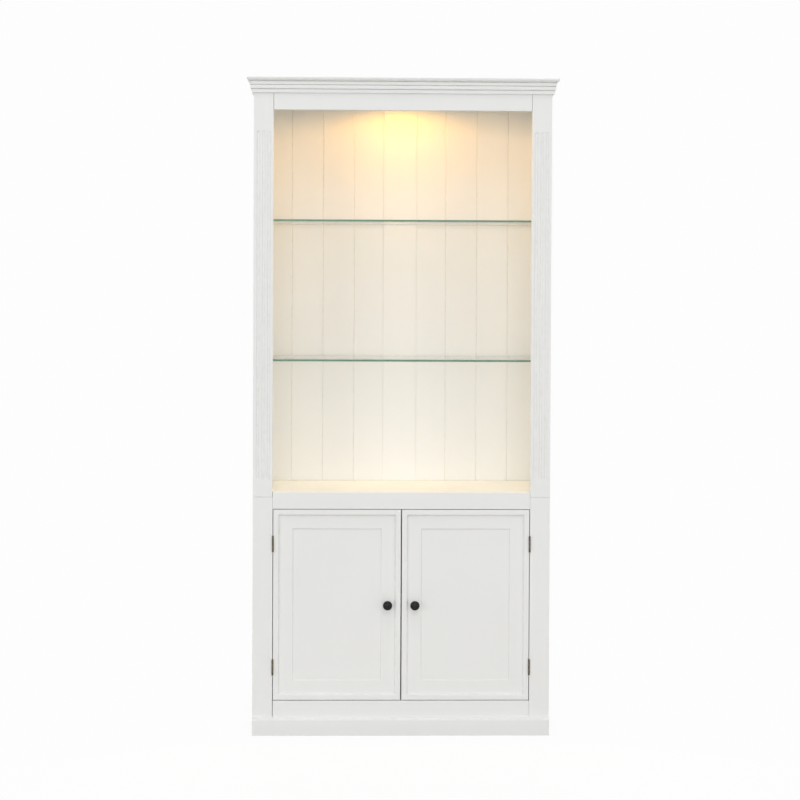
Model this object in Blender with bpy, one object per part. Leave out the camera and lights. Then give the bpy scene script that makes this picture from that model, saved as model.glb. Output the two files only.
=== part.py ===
"""A tall painted display cabinet. An open upper unit, with two glass shelves and a spotlight,
stands on a cupboard with two panelled doors.

Metres, +Z up. The front faces -Y, and the origin is the middle of the whole cabinet's box, on
the floor. Each board, door piece, hinge piece, pin and lamp piece is its own object, and the
pieces of a door hang under an empty on that door's hinge axis."""

import math

import bmesh
import bpy
from mathutils import Matrix, Vector

# Whole cabinet
HEIGHT = 2.100
BODY_WIDTH = 0.951
BODY_DEPTH = 0.380
BOARD = 0.018
FACE_FRAME = 0.020
STILE_WIDTH = 0.0635
GAP = 0.0003
EDGE = 0.0008
FINE_EDGE = 0.0004

# Back
BACK_SHEET = 0.009
BACK_RECESS = 0.007
PLANK_PITCH = 0.1048
FIRST_GROOVE = 0.0498
GROOVE_WIDTH = 0.0030
GROOVE_DEPTH = 0.0020
STRIP_WIDTH = 0.111
STRIP_THICKNESS = 0.003

# Lower unit, with its shelf's height to the underside
SKIRTING_HEIGHT = 0.0565
SKIRTING_PROUD = 0.014
SKIRTING_ROUND = 0.0090
BOTTOM_RAIL_HEIGHT = 0.053
UNIT_JOINT = 0.7625
FLOOR_RISE = 0.017
MID_RAIL_HEIGHT = 0.0547
RAIL_NOSE = 0.0030
CUPBOARD_SHELF_HEIGHT = 0.426
CUPBOARD_SHELF_DEPTH = 0.300

# Upper unit
HEADER_DROP = 0.1015
FLUTE_COUNT = 3
FLUTE_PITCH = 0.0173
FLUTE_WIDTH = 0.0096
FLUTE_DEPTH = 0.0030
FLUTE_TOP_MARGIN = 0.0675
FLUTE_BOTTOM_MARGIN = 0.0555

# Cornice: a flat band, a bead and a second flat band step out under a rounded lip
CORNICE_HEIGHT = 0.048
CORNICE_REACH = 0.022
CORNICE_FOOT = 0.0068
CORNICE_BAND = 0.0122
CORNICE_STEP = 0.0028
CORNICE_BEAD = 0.0012
CORNICE_LEAN = 0.0008
CORNICE_LIP_EDGE = 0.0015

# Glass shelves, with their heights to the underside
GLASS = 0.006
UPPER_GLASS_HEIGHT = 1.6444
LOWER_GLASS_HEIGHT = 1.1960
GLASS_SETBACK = 0.004
SHELF_END_PLAY = 0.0005
SHELF_BACK_PLAY = 0.0010

# Shelf pins
PIN_SHANK_RADIUS = 0.0025
PIN_SHANK_LENGTH = 0.009
PIN_COLLAR_RADIUS = 0.0042
PIN_COLLAR = 0.0012
PIN_PEG_RADIUS = 0.0032
PIN_PEG_LENGTH = 0.010
PIN_INSET = 0.040

# Doors. An ogee leads from the raised rim to the flat band, and an ovolo from there to the panel
DOOR_REVEAL = 0.0020
DOOR_MEETING_GAP = 0.0034
RIM_WIDTH = 0.0130
RIM_ROUND = 0.0018
RIM_STEP = 0.0080
RIM_OVOLO = 0.0050
RIM_OVOLO_DROP = 0.0036
RIM_COVE = 0.0100
DOOR_FRAME_WIDTH = 0.0640
PANEL_STEP = 0.0038
PANEL_OVOLO = 0.0055
PANEL = 0.006
PANEL_TONGUE = 0.007

# Knobs, inset from the edge where the doors meet
KNOB_INSET = 0.042
KNOB_RADIUS = 0.0150
KNOB_HEIGHT = 0.0318
KNOB_NECK_RADIUS = 0.0062
KNOB_FOOT_RADIUS = 0.0085
KNOB_FOOT = 0.003
KNOB_FLARE = 0.006
KNOB_FLARE_END = 100
KNOB_RIM = 0.0015
KNOB_DOME = 0.0085

# Butt hinges
HINGE_HEIGHT = 0.050
HINGE_TOP_INSET = 0.110
HINGE_BOTTOM_INSET = 0.106
KNUCKLE_RADIUS = 0.0030
KNUCKLE_BORE = 0.0016
LEAF = 0.0012
LEAF_SPACE = 0.0002
LEAF_DEPTH = 0.0156
NECK_INSET = 0.0001
NECK_ROOT = 0.0010
HINGE_PIN_HEAD_RADIUS = 0.0022
HINGE_PIN_HEAD = 0.0012

# Magnetic catch and its two strike discs
CATCH_WIDTH = 0.072
CATCH_DEPTH = 0.014
CATCH_HEIGHT = 0.046
CATCH_ON_RAIL = 0.022
STRIKE_RADIUS = 0.008
STRIKE = 0.0010
STRIKE_SPACING = 0.048
STRIKE_INSET = 0.0125

# Spotlight under the top board, and the hole above it that its cord leaves by
LAMP_RADIUS = 0.034
LAMP_HEIGHT = 0.028
LAMP_WALL = 0.0025
LAMP_FLANGE = 0.0015
LAMP_FLANGE_HEIGHT = 0.003
LAMP_LIP = 0.0015
LAMP_LIP_WIDTH = 0.005
LENS = 0.0025
LAMP_TO_BACK = 0.150
CORD_HOLE_RADIUS = 0.0040

# Sides of the round shapes, steps of their arcs, and how far a cutter stands out of what it cuts
KNOB_SIDES = 24
LAMP_SIDES = 32
PIN_SIDES = 12
KNUCKLE_SIDES = 16
FLUTE_SIDES = 20
SMALL_ARC_STEPS = 4
LARGE_ARC_STEPS = 6
SHARP_ANGLE = 35
BEVEL_ANGLE = 50
CUTTER_REACH = 0.002

# Planes that pieces share
SIDES = {"left": -1, "right": 1}
HALF_WIDTH = BODY_WIDTH / 2
INNER_HALF = HALF_WIDTH - BOARD
OPENING_HALF = HALF_WIDTH - STILE_WIDTH
KNOB_REACH = KNOB_HEIGHT + GAP - RIM_STEP
FRONT_REACH = max(CORNICE_REACH, KNOB_REACH, SKIRTING_PROUD)
FRONT = (FRONT_REACH - BODY_DEPTH) / 2
REAR = FRONT + BODY_DEPTH
FRAME_BACK = FRONT + FACE_FRAME
BACK_REAR = REAR - BACK_RECESS
BACK_FRONT = BACK_REAR - BACK_SHEET
STRIP_REAR = BACK_FRONT - GAP
STRIP_FRONT = STRIP_REAR - STRIP_THICKNESS
FLOOR_TOP = UNIT_JOINT + FLOOR_RISE
BOTTOM_TOP = SKIRTING_HEIGHT + BOTTOM_RAIL_HEIGHT
TOP_UNDERSIDE = HEIGHT - BOARD
OPENING_TOP = HEIGHT - HEADER_DROP
MID_RAIL_BOTTOM = FLOOR_TOP - MID_RAIL_HEIGHT
DOOR_BOTTOM = BOTTOM_TOP + DOOR_REVEAL
DOOR_TOP = MID_RAIL_BOTTOM - DOOR_REVEAL
DOOR_FAR = OPENING_HALF - DOOR_REVEAL
DOOR_NEAR = DOOR_MEETING_GAP / 2
PANEL_FRONT = FRONT + RIM_STEP + PANEL_STEP
PANEL_REAR = PANEL_FRONT + PANEL
HINGE_X = OPENING_HALF - DOOR_REVEAL / 2
HINGE_Y = FRONT - GAP - KNUCKLE_RADIUS
HINGE_LEVELS = {"upper": DOOR_TOP - HINGE_TOP_INSET, "lower": DOOR_BOTTOM + HINGE_BOTTOM_INSET}
PIN_REACH = GAP + PIN_COLLAR
SHELF_HALF = INNER_HALF - PIN_REACH - SHELF_END_PLAY
GLASS_FRONT = FRAME_BACK + GLASS_SETBACK
GLASS_BACK = STRIP_FRONT - SHELF_BACK_PLAY
GLASS_UNDERSIDES = {"upper": UPPER_GLASS_HEIGHT, "lower": LOWER_GLASS_HEIGHT}
SHELF_BACK = BACK_FRONT - SHELF_BACK_PLAY
SHELF_FRONT = SHELF_BACK - CUPBOARD_SHELF_DEPTH
CATCH_TOP = MID_RAIL_BOTTOM + CATCH_ON_RAIL
STRIKE_LEVEL = DOOR_TOP - STRIKE_INSET
LAMP_Y = BACK_FRONT - LAMP_TO_BACK
LAMP_BOTTOM = TOP_UNDERSIDE - GAP - LAMP_HEIGHT


def clear_scene():
    for obj in list(bpy.data.objects):
        bpy.data.objects.remove(obj, do_unlink=True)


def make_material(name, colour, roughness, metallic=0.0, transmission=0.0):
    material = bpy.data.materials.new(name)
    material.use_nodes = True
    shader = material.node_tree.nodes["Principled BSDF"]
    shader.inputs["Base Color"].default_value = (*colour, 1.0)
    shader.inputs["Roughness"].default_value = roughness
    shader.inputs["Metallic"].default_value = metallic
    shader.inputs["Transmission Weight"].default_value = transmission
    material.diffuse_color = (*colour, 1.0)
    return material


def make_object(name, mesh, material=None, place=(0, 0, 0), parent=None):
    """Links a mesh as an object with its origin at place, in world coordinates."""
    obj = bpy.data.objects.new(name, mesh)
    bpy.context.scene.collection.objects.link(obj)
    if material:
        mesh.materials.append(material)
    obj.location = place
    if parent:
        obj.parent = parent
        obj.location = Vector(place) - parent.location
    return obj


def finish_mesh(name, bm, smooth=False):
    bmesh.ops.recalc_face_normals(bm, faces=bm.faces)
    mesh = bpy.data.meshes.new(name)
    bm.to_mesh(mesh)
    bm.free()
    if smooth:
        mesh.shade_smooth()
        mesh.set_sharp_from_angle(angle=math.radians(SHARP_ANGLE))
    return mesh


def add_bevel(obj, width):
    bevel = obj.modifiers.new("eased edges", "BEVEL")
    bevel.width = width
    bevel.segments = 1
    bevel.limit_method = "ANGLE"
    bevel.angle_limit = math.radians(BEVEL_ANGLE)


def box_mesh(name, low, high):
    bm = bmesh.new()
    bmesh.ops.create_cube(bm, size=1.0)
    for vert in bm.verts:
        for axis in range(3):
            vert.co[axis] = high[axis] if vert.co[axis] > 0 else low[axis]
    return finish_mesh(name, bm)


def board(name, xs, ys, zs, material, parent=None, edge=EDGE):
    """A board between two planes on each axis, with its origin in its middle."""
    low = Vector((min(xs), min(ys), min(zs)))
    high = Vector((max(xs), max(ys), max(zs)))
    middle = (low + high) / 2
    mesh = box_mesh(name, low - middle, high - middle)
    obj = make_object(name, mesh, material, middle, parent)
    if edge:
        add_bevel(obj, edge)
    return obj


def loft(name, first, last):
    """A solid between two outlines that have the same number of corners."""
    bm = bmesh.new()
    ends = [[bm.verts.new(point) for point in outline] for outline in (first, last)]
    for end in ends:
        bm.faces.new(end)
    for here in range(len(first)):
        after = (here + 1) % len(first)
        bm.faces.new((ends[0][here], ends[0][after], ends[1][after], ends[1][here]))
    return finish_mesh(name, bm)


def prism_along_x(name, outline, xs):
    """Runs an outline of (y, z) points between two distances along X."""
    return loft(name, *[[(x, y, z) for y, z in outline] for x in xs])


def prism_along_z(name, outline, zs):
    """Runs an outline of (x, y) points between two heights."""
    return loft(name, *[[(x, y, z) for x, y in outline] for z in zs])


def arc(centre, across, upward, start, end, steps):
    """Points of an ellipse's arc, with its half sizes across and upward, angles in degrees."""
    points = []
    for step in range(steps + 1):
        angle = math.radians(start + (end - start) * step / steps)
        x = centre[0] + across * math.cos(angle)
        y = centre[1] + upward * math.sin(angle)
        points.append((x, y))
    return points


def turned(name, profile, sides, along):
    """Turns (radius, distance) points about an axis. A radius of zero closes that end."""
    axis = Vector(along)
    across = axis.orthogonal().normalized()
    sideways = axis.cross(across)
    bm = bmesh.new()
    rings = []
    for radius, distance in profile:
        ring = []
        for side in range(sides if radius > 0 else 1):
            angle = 2 * math.pi * side / sides
            spoke = across * math.cos(angle) + sideways * math.sin(angle)
            ring.append(bm.verts.new(axis * distance + spoke * radius))
        rings.append(ring)
    pairs = list(zip(rings, rings[1:]))
    if len(rings[0]) > 1 and len(rings[-1]) > 1:
        pairs.append((rings[-1], rings[0]))
    for first, second in pairs:
        for side in range(sides):
            after = (side + 1) % sides
            face = [first[side % len(first)], first[after % len(first)]]
            face += [second[after % len(second)], second[side % len(second)]]
            bm.faces.new(list(dict.fromkeys(face)))
    return finish_mesh(name, bm, smooth=True)


def rod(name, radius, start, end, sides, along):
    return turned(name, [(0, start), (radius, start), (radius, end), (0, end)], sides, along)


def moved(mesh, place):
    mesh.transform(Matrix.Translation(place))
    return mesh


def joined(name, meshes):
    bm = bmesh.new()
    for mesh in meshes:
        bm.from_mesh(mesh)
    together = bpy.data.meshes.new(name)
    bm.to_mesh(together)
    bm.free()
    return together


def shape(obj, operation, name, meshes):
    """Joins world-space meshes to an object, or cuts them from it, through a hidden helper."""
    helper = make_object(f"{obj.name} {name}", joined(name, meshes))
    helper.hide_render = True
    helper.display_type = "WIRE"
    boolean = obj.modifiers.new(name, "BOOLEAN")
    boolean.operation = operation
    boolean.object = helper


def build_pins(shelf, underside, front, back, metal):
    """Four pins that carry one shelf. Returns the (y, z) places that they are set in."""
    profile = [
        (0, -PIN_SHANK_LENGTH),
        (PIN_SHANK_RADIUS, -PIN_SHANK_LENGTH),
        (PIN_SHANK_RADIUS, GAP),
        (PIN_COLLAR_RADIUS, GAP),
        (PIN_COLLAR_RADIUS, PIN_REACH),
        (PIN_PEG_RADIUS, PIN_REACH),
        (PIN_PEG_RADIUS, PIN_REACH + PIN_PEG_LENGTH),
        (0, PIN_REACH + PIN_PEG_LENGTH),
    ]
    level = underside - GAP - PIN_PEG_RADIUS
    places = {"front": (front + PIN_INSET, level), "back": (back - PIN_INSET, level)}
    for side, sign in SIDES.items():
        for end, place in places.items():
            name = f"{shelf}_pin_{side}_{end}"
            mesh = turned(name, profile, PIN_SIDES, (-sign, 0, 0))
            make_object(name, mesh, metal, (sign * INNER_HALF, *place))
    return list(places.values())


def bore_side(panel, sign, places):
    """Cuts the blind bores of the shelf pins into a side board."""
    radius = PIN_SHANK_RADIUS + GAP
    depth = PIN_SHANK_LENGTH + GAP
    bores = []
    for place in places:
        bore = rod("bore", radius, -CUTTER_REACH, depth, PIN_SIDES, (sign, 0, 0))
        bores.append(moved(bore, (sign * INNER_HALF, *place)))
    shape(panel, "DIFFERENCE", "pin bores", bores)


def cut_hinge_seats(obj, sign, near, far):
    """Cuts the shallow seats of a door's two hinges, between two distances from the centre line."""
    seats = []
    for level in HINGE_LEVELS.values():
        half = HINGE_HEIGHT / 2 + GAP
        xs = (sign * near, sign * far)
        low = (min(xs), FRONT - CUTTER_REACH, level - half)
        high = (max(xs), FRONT + LEAF_DEPTH + GAP, level + half)
        seats.append(box_mesh("seat", low, high))
    shape(obj, "DIFFERENCE", "hinge seats", seats)


def build_lower_boards(paint, metal):
    width = (-INNER_HALF + GAP, INNER_HALF - GAP)
    depth = (FRAME_BACK + GAP, BACK_FRONT - GAP)
    board("base_bottom_board", width, depth, (BOTTOM_TOP - BOARD, BOTTOM_TOP), paint)
    board("base_top_board", width, depth, (FLOOR_TOP - BOARD, FLOOR_TOP), paint)
    sheet = (BACK_FRONT, BACK_REAR)
    board("base_back_panel", width, sheet, (BOTTOM_TOP - BOARD, FLOOR_TOP), paint)
    levels = (CUPBOARD_SHELF_HEIGHT, CUPBOARD_SHELF_HEIGHT + BOARD)
    board("cupboard_shelf", (-SHELF_HALF, SHELF_HALF), (SHELF_FRONT, SHELF_BACK), levels, paint)
    places = build_pins("cupboard_shelf", levels[0], SHELF_FRONT, SHELF_BACK, metal)
    for side, sign in SIDES.items():
        xs = (sign * INNER_HALF, sign * HALF_WIDTH)
        panel = board(f"base_side_{side}", xs, (FRAME_BACK + GAP, REAR), (0, UNIT_JOINT), paint)
        bore_side(panel, sign, places)


def build_lower_frame(paint):
    """The cupboard's face frame, and the skirting board under it."""
    width = (-OPENING_HALF + GAP, OPENING_HALF - GAP)
    depth = (FRONT, FRAME_BACK)
    foot = SKIRTING_HEIGHT + GAP
    board("base_bottom_rail", width, depth, (foot, BOTTOM_TOP), paint, edge=FINE_EDGE)
    for side, sign in SIDES.items():
        xs = (sign * OPENING_HALF, sign * HALF_WIDTH)
        stile = board(f"base_stile_{side}", xs, depth, (foot, UNIT_JOINT), paint, edge=FINE_EDGE)
        deepest = HINGE_X + LEAF_SPACE + LEAF + GAP
        cut_hinge_seats(stile, sign, OPENING_HALF - CUTTER_REACH, deepest)
    centre = (FRONT + RAIL_NOSE, FLOOR_TOP - RAIL_NOSE)
    nose = arc(centre, RAIL_NOSE, RAIL_NOSE, 90, 180, SMALL_ARC_STEPS)
    outline = [(FRAME_BACK, MID_RAIL_BOTTOM), (FRAME_BACK, FLOOR_TOP), *nose, (FRONT, MID_RAIL_BOTTOM)]
    rail = make_object("base_mid_rail", prism_along_x("base_mid_rail", outline, width), paint)
    add_bevel(rail, FINE_EDGE)
    proud = FRONT - SKIRTING_PROUD
    centre = (proud + SKIRTING_ROUND, SKIRTING_HEIGHT - SKIRTING_ROUND)
    nose = arc(centre, SKIRTING_ROUND, SKIRTING_ROUND, 90, 180, SMALL_ARC_STEPS)
    outline = [(FRAME_BACK, 0), (FRAME_BACK, SKIRTING_HEIGHT), *nose, (proud, 0)]
    mesh = prism_along_x("skirting_front", outline, (-HALF_WIDTH, HALF_WIDTH))
    skirting = make_object("skirting_front", mesh, paint)
    add_bevel(skirting, FINE_EDGE)


def door_frame_profile():
    """(inset, y) points round the section of a door's frame, from its outer back edge."""
    centre = (RIM_ROUND, FRONT + RIM_ROUND)
    corner = arc(centre, RIM_ROUND, RIM_ROUND, 180, 270, SMALL_ARC_STEPS)
    fall = FRONT + RIM_OVOLO_DROP
    edge = arc((RIM_WIDTH, fall), RIM_OVOLO, RIM_OVOLO_DROP, 270, 360, SMALL_ARC_STEPS)
    reach = RIM_WIDTH + RIM_OVOLO + RIM_COVE
    cove = arc((reach, fall), RIM_COVE, RIM_STEP - RIM_OVOLO_DROP, 180, 90, LARGE_ARC_STEPS)
    foot = (DOOR_FRAME_WIDTH - PANEL_OVOLO, PANEL_FRONT - GAP)
    ovolo = arc(foot, PANEL_OVOLO, PANEL_STEP - GAP, 270, 360, SMALL_ARC_STEPS)
    slot = DOOR_FRAME_WIDTH - PANEL_TONGUE - GAP
    return [
        (FINE_EDGE, FRAME_BACK),
        (0, FRAME_BACK - FINE_EDGE),
        *corner,
        *edge,
        *cove[1:],
        *ovolo,
        (slot, PANEL_FRONT - GAP),
        (slot, PANEL_REAR + GAP),
        (DOOR_FRAME_WIDTH, PANEL_REAR + GAP),
        (DOOR_FRAME_WIDTH, FRAME_BACK - FINE_EDGE),
        (DOOR_FRAME_WIDTH - FINE_EDGE, FRAME_BACK),
    ]


def door_frame_mesh(name, sign):
    """The door's frame, with its section carried round four mitred corners."""
    bm = bmesh.new()
    rings = []
    for inset, y in door_frame_profile():
        near = sign * (DOOR_NEAR + inset)
        far = sign * (DOOR_FAR - inset)
        low = DOOR_BOTTOM + inset
        high = DOOR_TOP - inset
        corners = ((near, low), (far, low), (far, high), (near, high))
        rings.append([bm.verts.new((x, y, z)) for x, z in corners])
    for first, second in zip(rings, rings[1:] + rings[:1]):
        for here in range(len(first)):
            after = (here + 1) % len(first)
            bm.faces.new((first[here], first[after], second[after], second[here]))
    return finish_mesh(name, bm)


def knob_profile():
    """(radius, distance) points from the knob's foot to the top of its dome."""
    base = KNOB_HEIGHT - KNOB_DOME - KNOB_RIM - KNOB_FLARE
    reach = KNOB_RADIUS - KNOB_NECK_RADIUS
    flare = arc((KNOB_RADIUS, base), reach, KNOB_FLARE, 180, KNOB_FLARE_END, SMALL_ARC_STEPS)
    rim = KNOB_HEIGHT - KNOB_DOME
    dome = arc((0, rim), KNOB_RADIUS, KNOB_DOME, 0, 90, LARGE_ARC_STEPS)[:-1]
    foot = [(0, 0), (KNOB_FOOT_RADIUS, 0), (KNOB_FOOT_RADIUS, KNOB_FOOT), (KNOB_NECK_RADIUS, KNOB_FOOT)]
    return [*foot, *flare, (KNOB_RADIUS, rim - KNOB_RIM), *dome, (0, KNOB_HEIGHT)]


def build_door(side, sign, materials):
    """A door with its panel, knob and strike disc. Returns the empty on its hinge axis."""
    axis = make_object(f"{side}_door_axis", None, place=(sign * HINGE_X, HINGE_Y, 0))
    name = f"{side}_door_frame"
    frame = make_object(name, door_frame_mesh(name, sign), materials["paint"], parent=axis)
    cut_hinge_seats(frame, sign, HINGE_X - LEAF_SPACE - LEAF - GAP, OPENING_HALF + CUTTER_REACH)
    held = DOOR_FRAME_WIDTH - PANEL_TONGUE
    xs = (sign * (DOOR_NEAR + held), sign * (DOOR_FAR - held))
    zs = (DOOR_BOTTOM + held, DOOR_TOP - held)
    name = f"{side}_door_panel"
    board(name, xs, (PANEL_FRONT, PANEL_REAR), zs, materials["paint"], axis, FINE_EDGE)
    name = f"{side}_door_knob"
    mesh = turned(name, knob_profile(), KNOB_SIDES, (0, -1, 0))
    x = sign * (DOOR_NEAR + KNOB_INSET)
    place = (x, FRONT + RIM_STEP - GAP, (DOOR_BOTTOM + DOOR_TOP) / 2)
    make_object(name, mesh, materials["black"], place, axis)
    name = f"{side}_door_strike"
    mesh = rod(name, STRIKE_RADIUS, 0, STRIKE, LAMP_SIDES, (0, -1, 0))
    place = (sign * STRIKE_SPACING / 2, FRAME_BACK, STRIKE_LEVEL)
    make_object(name, mesh, materials["steel"], place, axis)
    recess = rod("recess", STRIKE_RADIUS + GAP, -CUTTER_REACH, STRIKE + GAP, LAMP_SIDES, (0, -1, 0))
    shape(frame, "DIFFERENCE", "strike recess", [moved(recess, place)])
    return axis


def knuckle(leaf_sign, centre, zs):
    """A hinge knuckle and the neck that joins it to its leaf, as one keyhole-shaped prism."""
    near = LEAF_SPACE + NECK_INSET
    far = LEAF_SPACE + LEAF - NECK_INSET
    start = math.degrees(math.acos(near / KNUCKLE_RADIUS))
    end = math.degrees(math.acos(far / KNUCKLE_RADIUS)) + 360
    outline = arc((0, 0), KNUCKLE_RADIUS, KNUCKLE_RADIUS, start, end, KNUCKLE_SIDES)
    root = FRONT + NECK_ROOT - centre[1]
    outline += [(far, root), (near, root)]
    placed = [(centre[0] + leaf_sign * x, centre[1] + y) for x, y in outline]
    return prism_along_z("knuckle", placed, (zs[0] + NECK_INSET, zs[1] - NECK_INSET))


def build_hinge(name, sign, level, axis, metal):
    """Two leaves with interlocking knuckles, and the headed pin through them."""
    centre = (sign * HINGE_X, HINGE_Y)
    bottom = level - HINGE_HEIGHT / 2
    length = (HINGE_HEIGHT - 2 * GAP) / 3
    spans = []
    for number in range(3):
        low = bottom + number * (length + GAP)
        spans.append((low, low + length))
    pieces = (
        ("frame_leaf", sign, None, (spans[0], spans[2])),
        ("door_leaf", -sign, axis, (spans[1],)),
    )
    for piece, leaf_sign, parent, held in pieces:
        xs = [centre[0] + leaf_sign * (LEAF_SPACE + offset) for offset in (0, LEAF)]
        zs = (bottom, bottom + HINGE_HEIGHT)
        leaf = board(f"{name}_{piece}", xs, (FRONT, FRONT + LEAF_DEPTH), zs, metal, parent, edge=0)
        shape(leaf, "UNION", "knuckles", [knuckle(leaf_sign, centre, span) for span in held])
        ends = (bottom - CUTTER_REACH, bottom + HINGE_HEIGHT + CUTTER_REACH)
        bore = rod("bore", KNUCKLE_BORE, *ends, KNUCKLE_SIDES, (0, 0, 1))
        shape(leaf, "DIFFERENCE", "pin bore", [moved(bore, (*centre, 0))])
    half = HINGE_HEIGHT / 2 + GAP
    radius = KNUCKLE_BORE - GAP
    profile = [
        (0, -half - HINGE_PIN_HEAD),
        (HINGE_PIN_HEAD_RADIUS, -half - HINGE_PIN_HEAD),
        (HINGE_PIN_HEAD_RADIUS, -half),
        (radius, -half),
        (radius, half),
        (HINGE_PIN_HEAD_RADIUS, half),
        (HINGE_PIN_HEAD_RADIUS, half + HINGE_PIN_HEAD),
        (0, half + HINGE_PIN_HEAD),
    ]
    mesh = turned(f"{name}_pin", profile, KNUCKLE_SIDES, (0, 0, 1))
    make_object(f"{name}_pin", mesh, metal, (*centre, level))


def build_doors(materials):
    for side, sign in SIDES.items():
        axis = build_door(side, sign, materials)
        for end, level in HINGE_LEVELS.items():
            build_hinge(f"{side}_hinge_{end}", sign, level, axis, materials["bronze"])
    xs = (-CATCH_WIDTH / 2, CATCH_WIDTH / 2)
    ys = (FRAME_BACK + GAP, FRAME_BACK + GAP + CATCH_DEPTH)
    board("magnetic_catch", xs, ys, (CATCH_TOP - CATCH_HEIGHT, CATCH_TOP), materials["white"])


def build_upper_back(paint):
    """Two grooved back panels that meet in the middle, behind a flat strip."""
    zs = (FLOOR_TOP + GAP, TOP_UNDERSIDE - GAP)
    half = GROOVE_WIDTH / 2
    for side, sign in SIDES.items():
        front = [(GAP / 2, BACK_FRONT)]
        place = FIRST_GROOVE
        while place < INNER_HALF - GROOVE_WIDTH:
            front += [(place - half, BACK_FRONT), (place, BACK_FRONT + GROOVE_DEPTH)]
            front.append((place + half, BACK_FRONT))
            place += PLANK_PITCH
        far = INNER_HALF - GAP
        outline = [*front, (far, BACK_FRONT), (far, BACK_REAR), (GAP / 2, BACK_REAR)]
        name = f"upper_back_panel_{side}"
        mesh = prism_along_z(name, [(sign * x, y) for x, y in outline], zs)
        make_object(name, mesh, paint)
    xs = (-STRIP_WIDTH / 2, STRIP_WIDTH / 2)
    board("upper_back_strip", xs, (STRIP_FRONT, STRIP_REAR), zs, paint, edge=FINE_EDGE)


def flutes(sign):
    """Round-ended rods that leave a row of shallow flutes in a pilaster's front."""
    half = FLUTE_WIDTH / 2
    radius = (half * half + FLUTE_DEPTH * FLUTE_DEPTH) / (2 * FLUTE_DEPTH)
    low = UNIT_JOINT + FLUTE_BOTTOM_MARGIN + half
    high = OPENING_TOP - FLUTE_TOP_MARGIN - half
    profile = [(0, low - radius), *arc((0, low), radius, radius, -90, 0, LARGE_ARC_STEPS)[1:]]
    profile += [*arc((0, high), radius, radius, 0, 90, LARGE_ARC_STEPS)[:-1], (0, high + radius)]
    middle = (HALF_WIDTH + OPENING_HALF) / 2
    rods = []
    for number in range(FLUTE_COUNT):
        x = middle + (number - (FLUTE_COUNT - 1) / 2) * FLUTE_PITCH
        place = (sign * x, FRONT + FLUTE_DEPTH - radius, 0)
        rods.append(moved(turned("flute", profile, FLUTE_SIDES, (0, 0, 1)), place))
    return rods


def build_upper_boards(paint, metal, glass):
    places = []
    for end, underside in GLASS_UNDERSIDES.items():
        name = f"{end}_glass_shelf"
        levels = (underside, underside + GLASS)
        board(name, (-SHELF_HALF, SHELF_HALF), (GLASS_FRONT, GLASS_BACK), levels, glass, edge=FINE_EDGE)
        places += build_pins(name, underside, GLASS_FRONT, GLASS_BACK, metal)
    zs = (UNIT_JOINT + GAP, TOP_UNDERSIDE - GAP)
    for side, sign in SIDES.items():
        xs = (sign * INNER_HALF, sign * HALF_WIDTH)
        panel = board(f"upper_side_{side}", xs, (FRAME_BACK + GAP, REAR), zs, paint)
        bore_side(panel, sign, places)
        xs = (sign * OPENING_HALF, sign * HALF_WIDTH)
        pilaster = board(f"pilaster_{side}", xs, (FRONT, FRAME_BACK), zs, paint, edge=FINE_EDGE)
        shape(pilaster, "DIFFERENCE", "flutes", flutes(sign))
    width = (-OPENING_HALF + GAP, OPENING_HALF - GAP)
    levels = (OPENING_TOP, TOP_UNDERSIDE - GAP)
    board("header_rail", width, (FRONT, FRAME_BACK), levels, paint, edge=FINE_EDGE)
    levels = (TOP_UNDERSIDE, HEIGHT)
    top = board("upper_top_board", (-HALF_WIDTH, HALF_WIDTH), (FRONT, REAR), levels, paint)
    ends = (TOP_UNDERSIDE - CUTTER_REACH, HEIGHT + CUTTER_REACH)
    hole = rod("cord hole", CORD_HOLE_RADIUS, *ends, LAMP_SIDES, (0, 0, 1))
    shape(top, "DIFFERENCE", "cord hole", [moved(hole, (0, LAMP_Y, 0))])


def cornice_section():
    """(reach, height) points round the cornice, from its foot against the cabinet."""
    foot = HEIGHT - CORNICE_HEIGHT
    bead = foot + CORNICE_BAND
    fascia = bead + CORNICE_BAND
    lip = fascia + CORNICE_BAND
    bead_reach = CORNICE_FOOT + CORNICE_STEP
    fascia_reach = bead_reach + CORNICE_STEP
    centre = (bead_reach, bead + CORNICE_BAND / 2)
    inner = fascia_reach + CORNICE_LEAN
    edge = HEIGHT - CORNICE_LIP_EDGE
    return [
        (GAP, foot),
        (CORNICE_FOOT, foot),
        (CORNICE_FOOT + CORNICE_LEAN, bead),
        *arc(centre, CORNICE_BEAD, CORNICE_BAND / 2, -90, 90, LARGE_ARC_STEPS),
        (fascia_reach, fascia),
        *arc((inner, edge), CORNICE_REACH - inner, edge - lip, -90, 0, LARGE_ARC_STEPS),
        (CORNICE_REACH, HEIGHT),
        (GAP, HEIGHT),
    ]


def build_cornice(paint):
    """Three lengths of moulding that meet in mitres at the two front corners."""
    section = cornice_section()
    back = GAP / math.sqrt(2)
    ends = []
    for sign in SIDES.values():
        ends.append([(sign * (HALF_WIDTH + reach - back), FRONT - reach, z) for reach, z in section])
    make_object("cornice_front", loft("cornice_front", *ends), paint)
    for side, sign in SIDES.items():
        mitre = [(sign * (HALF_WIDTH + reach), FRONT - reach + back, z) for reach, z in section]
        square = [(x, REAR, z) for x, y, z in mitre]
        make_object(f"cornice_{side}", loft(f"cornice_{side}", mitre, square), paint)


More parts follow.
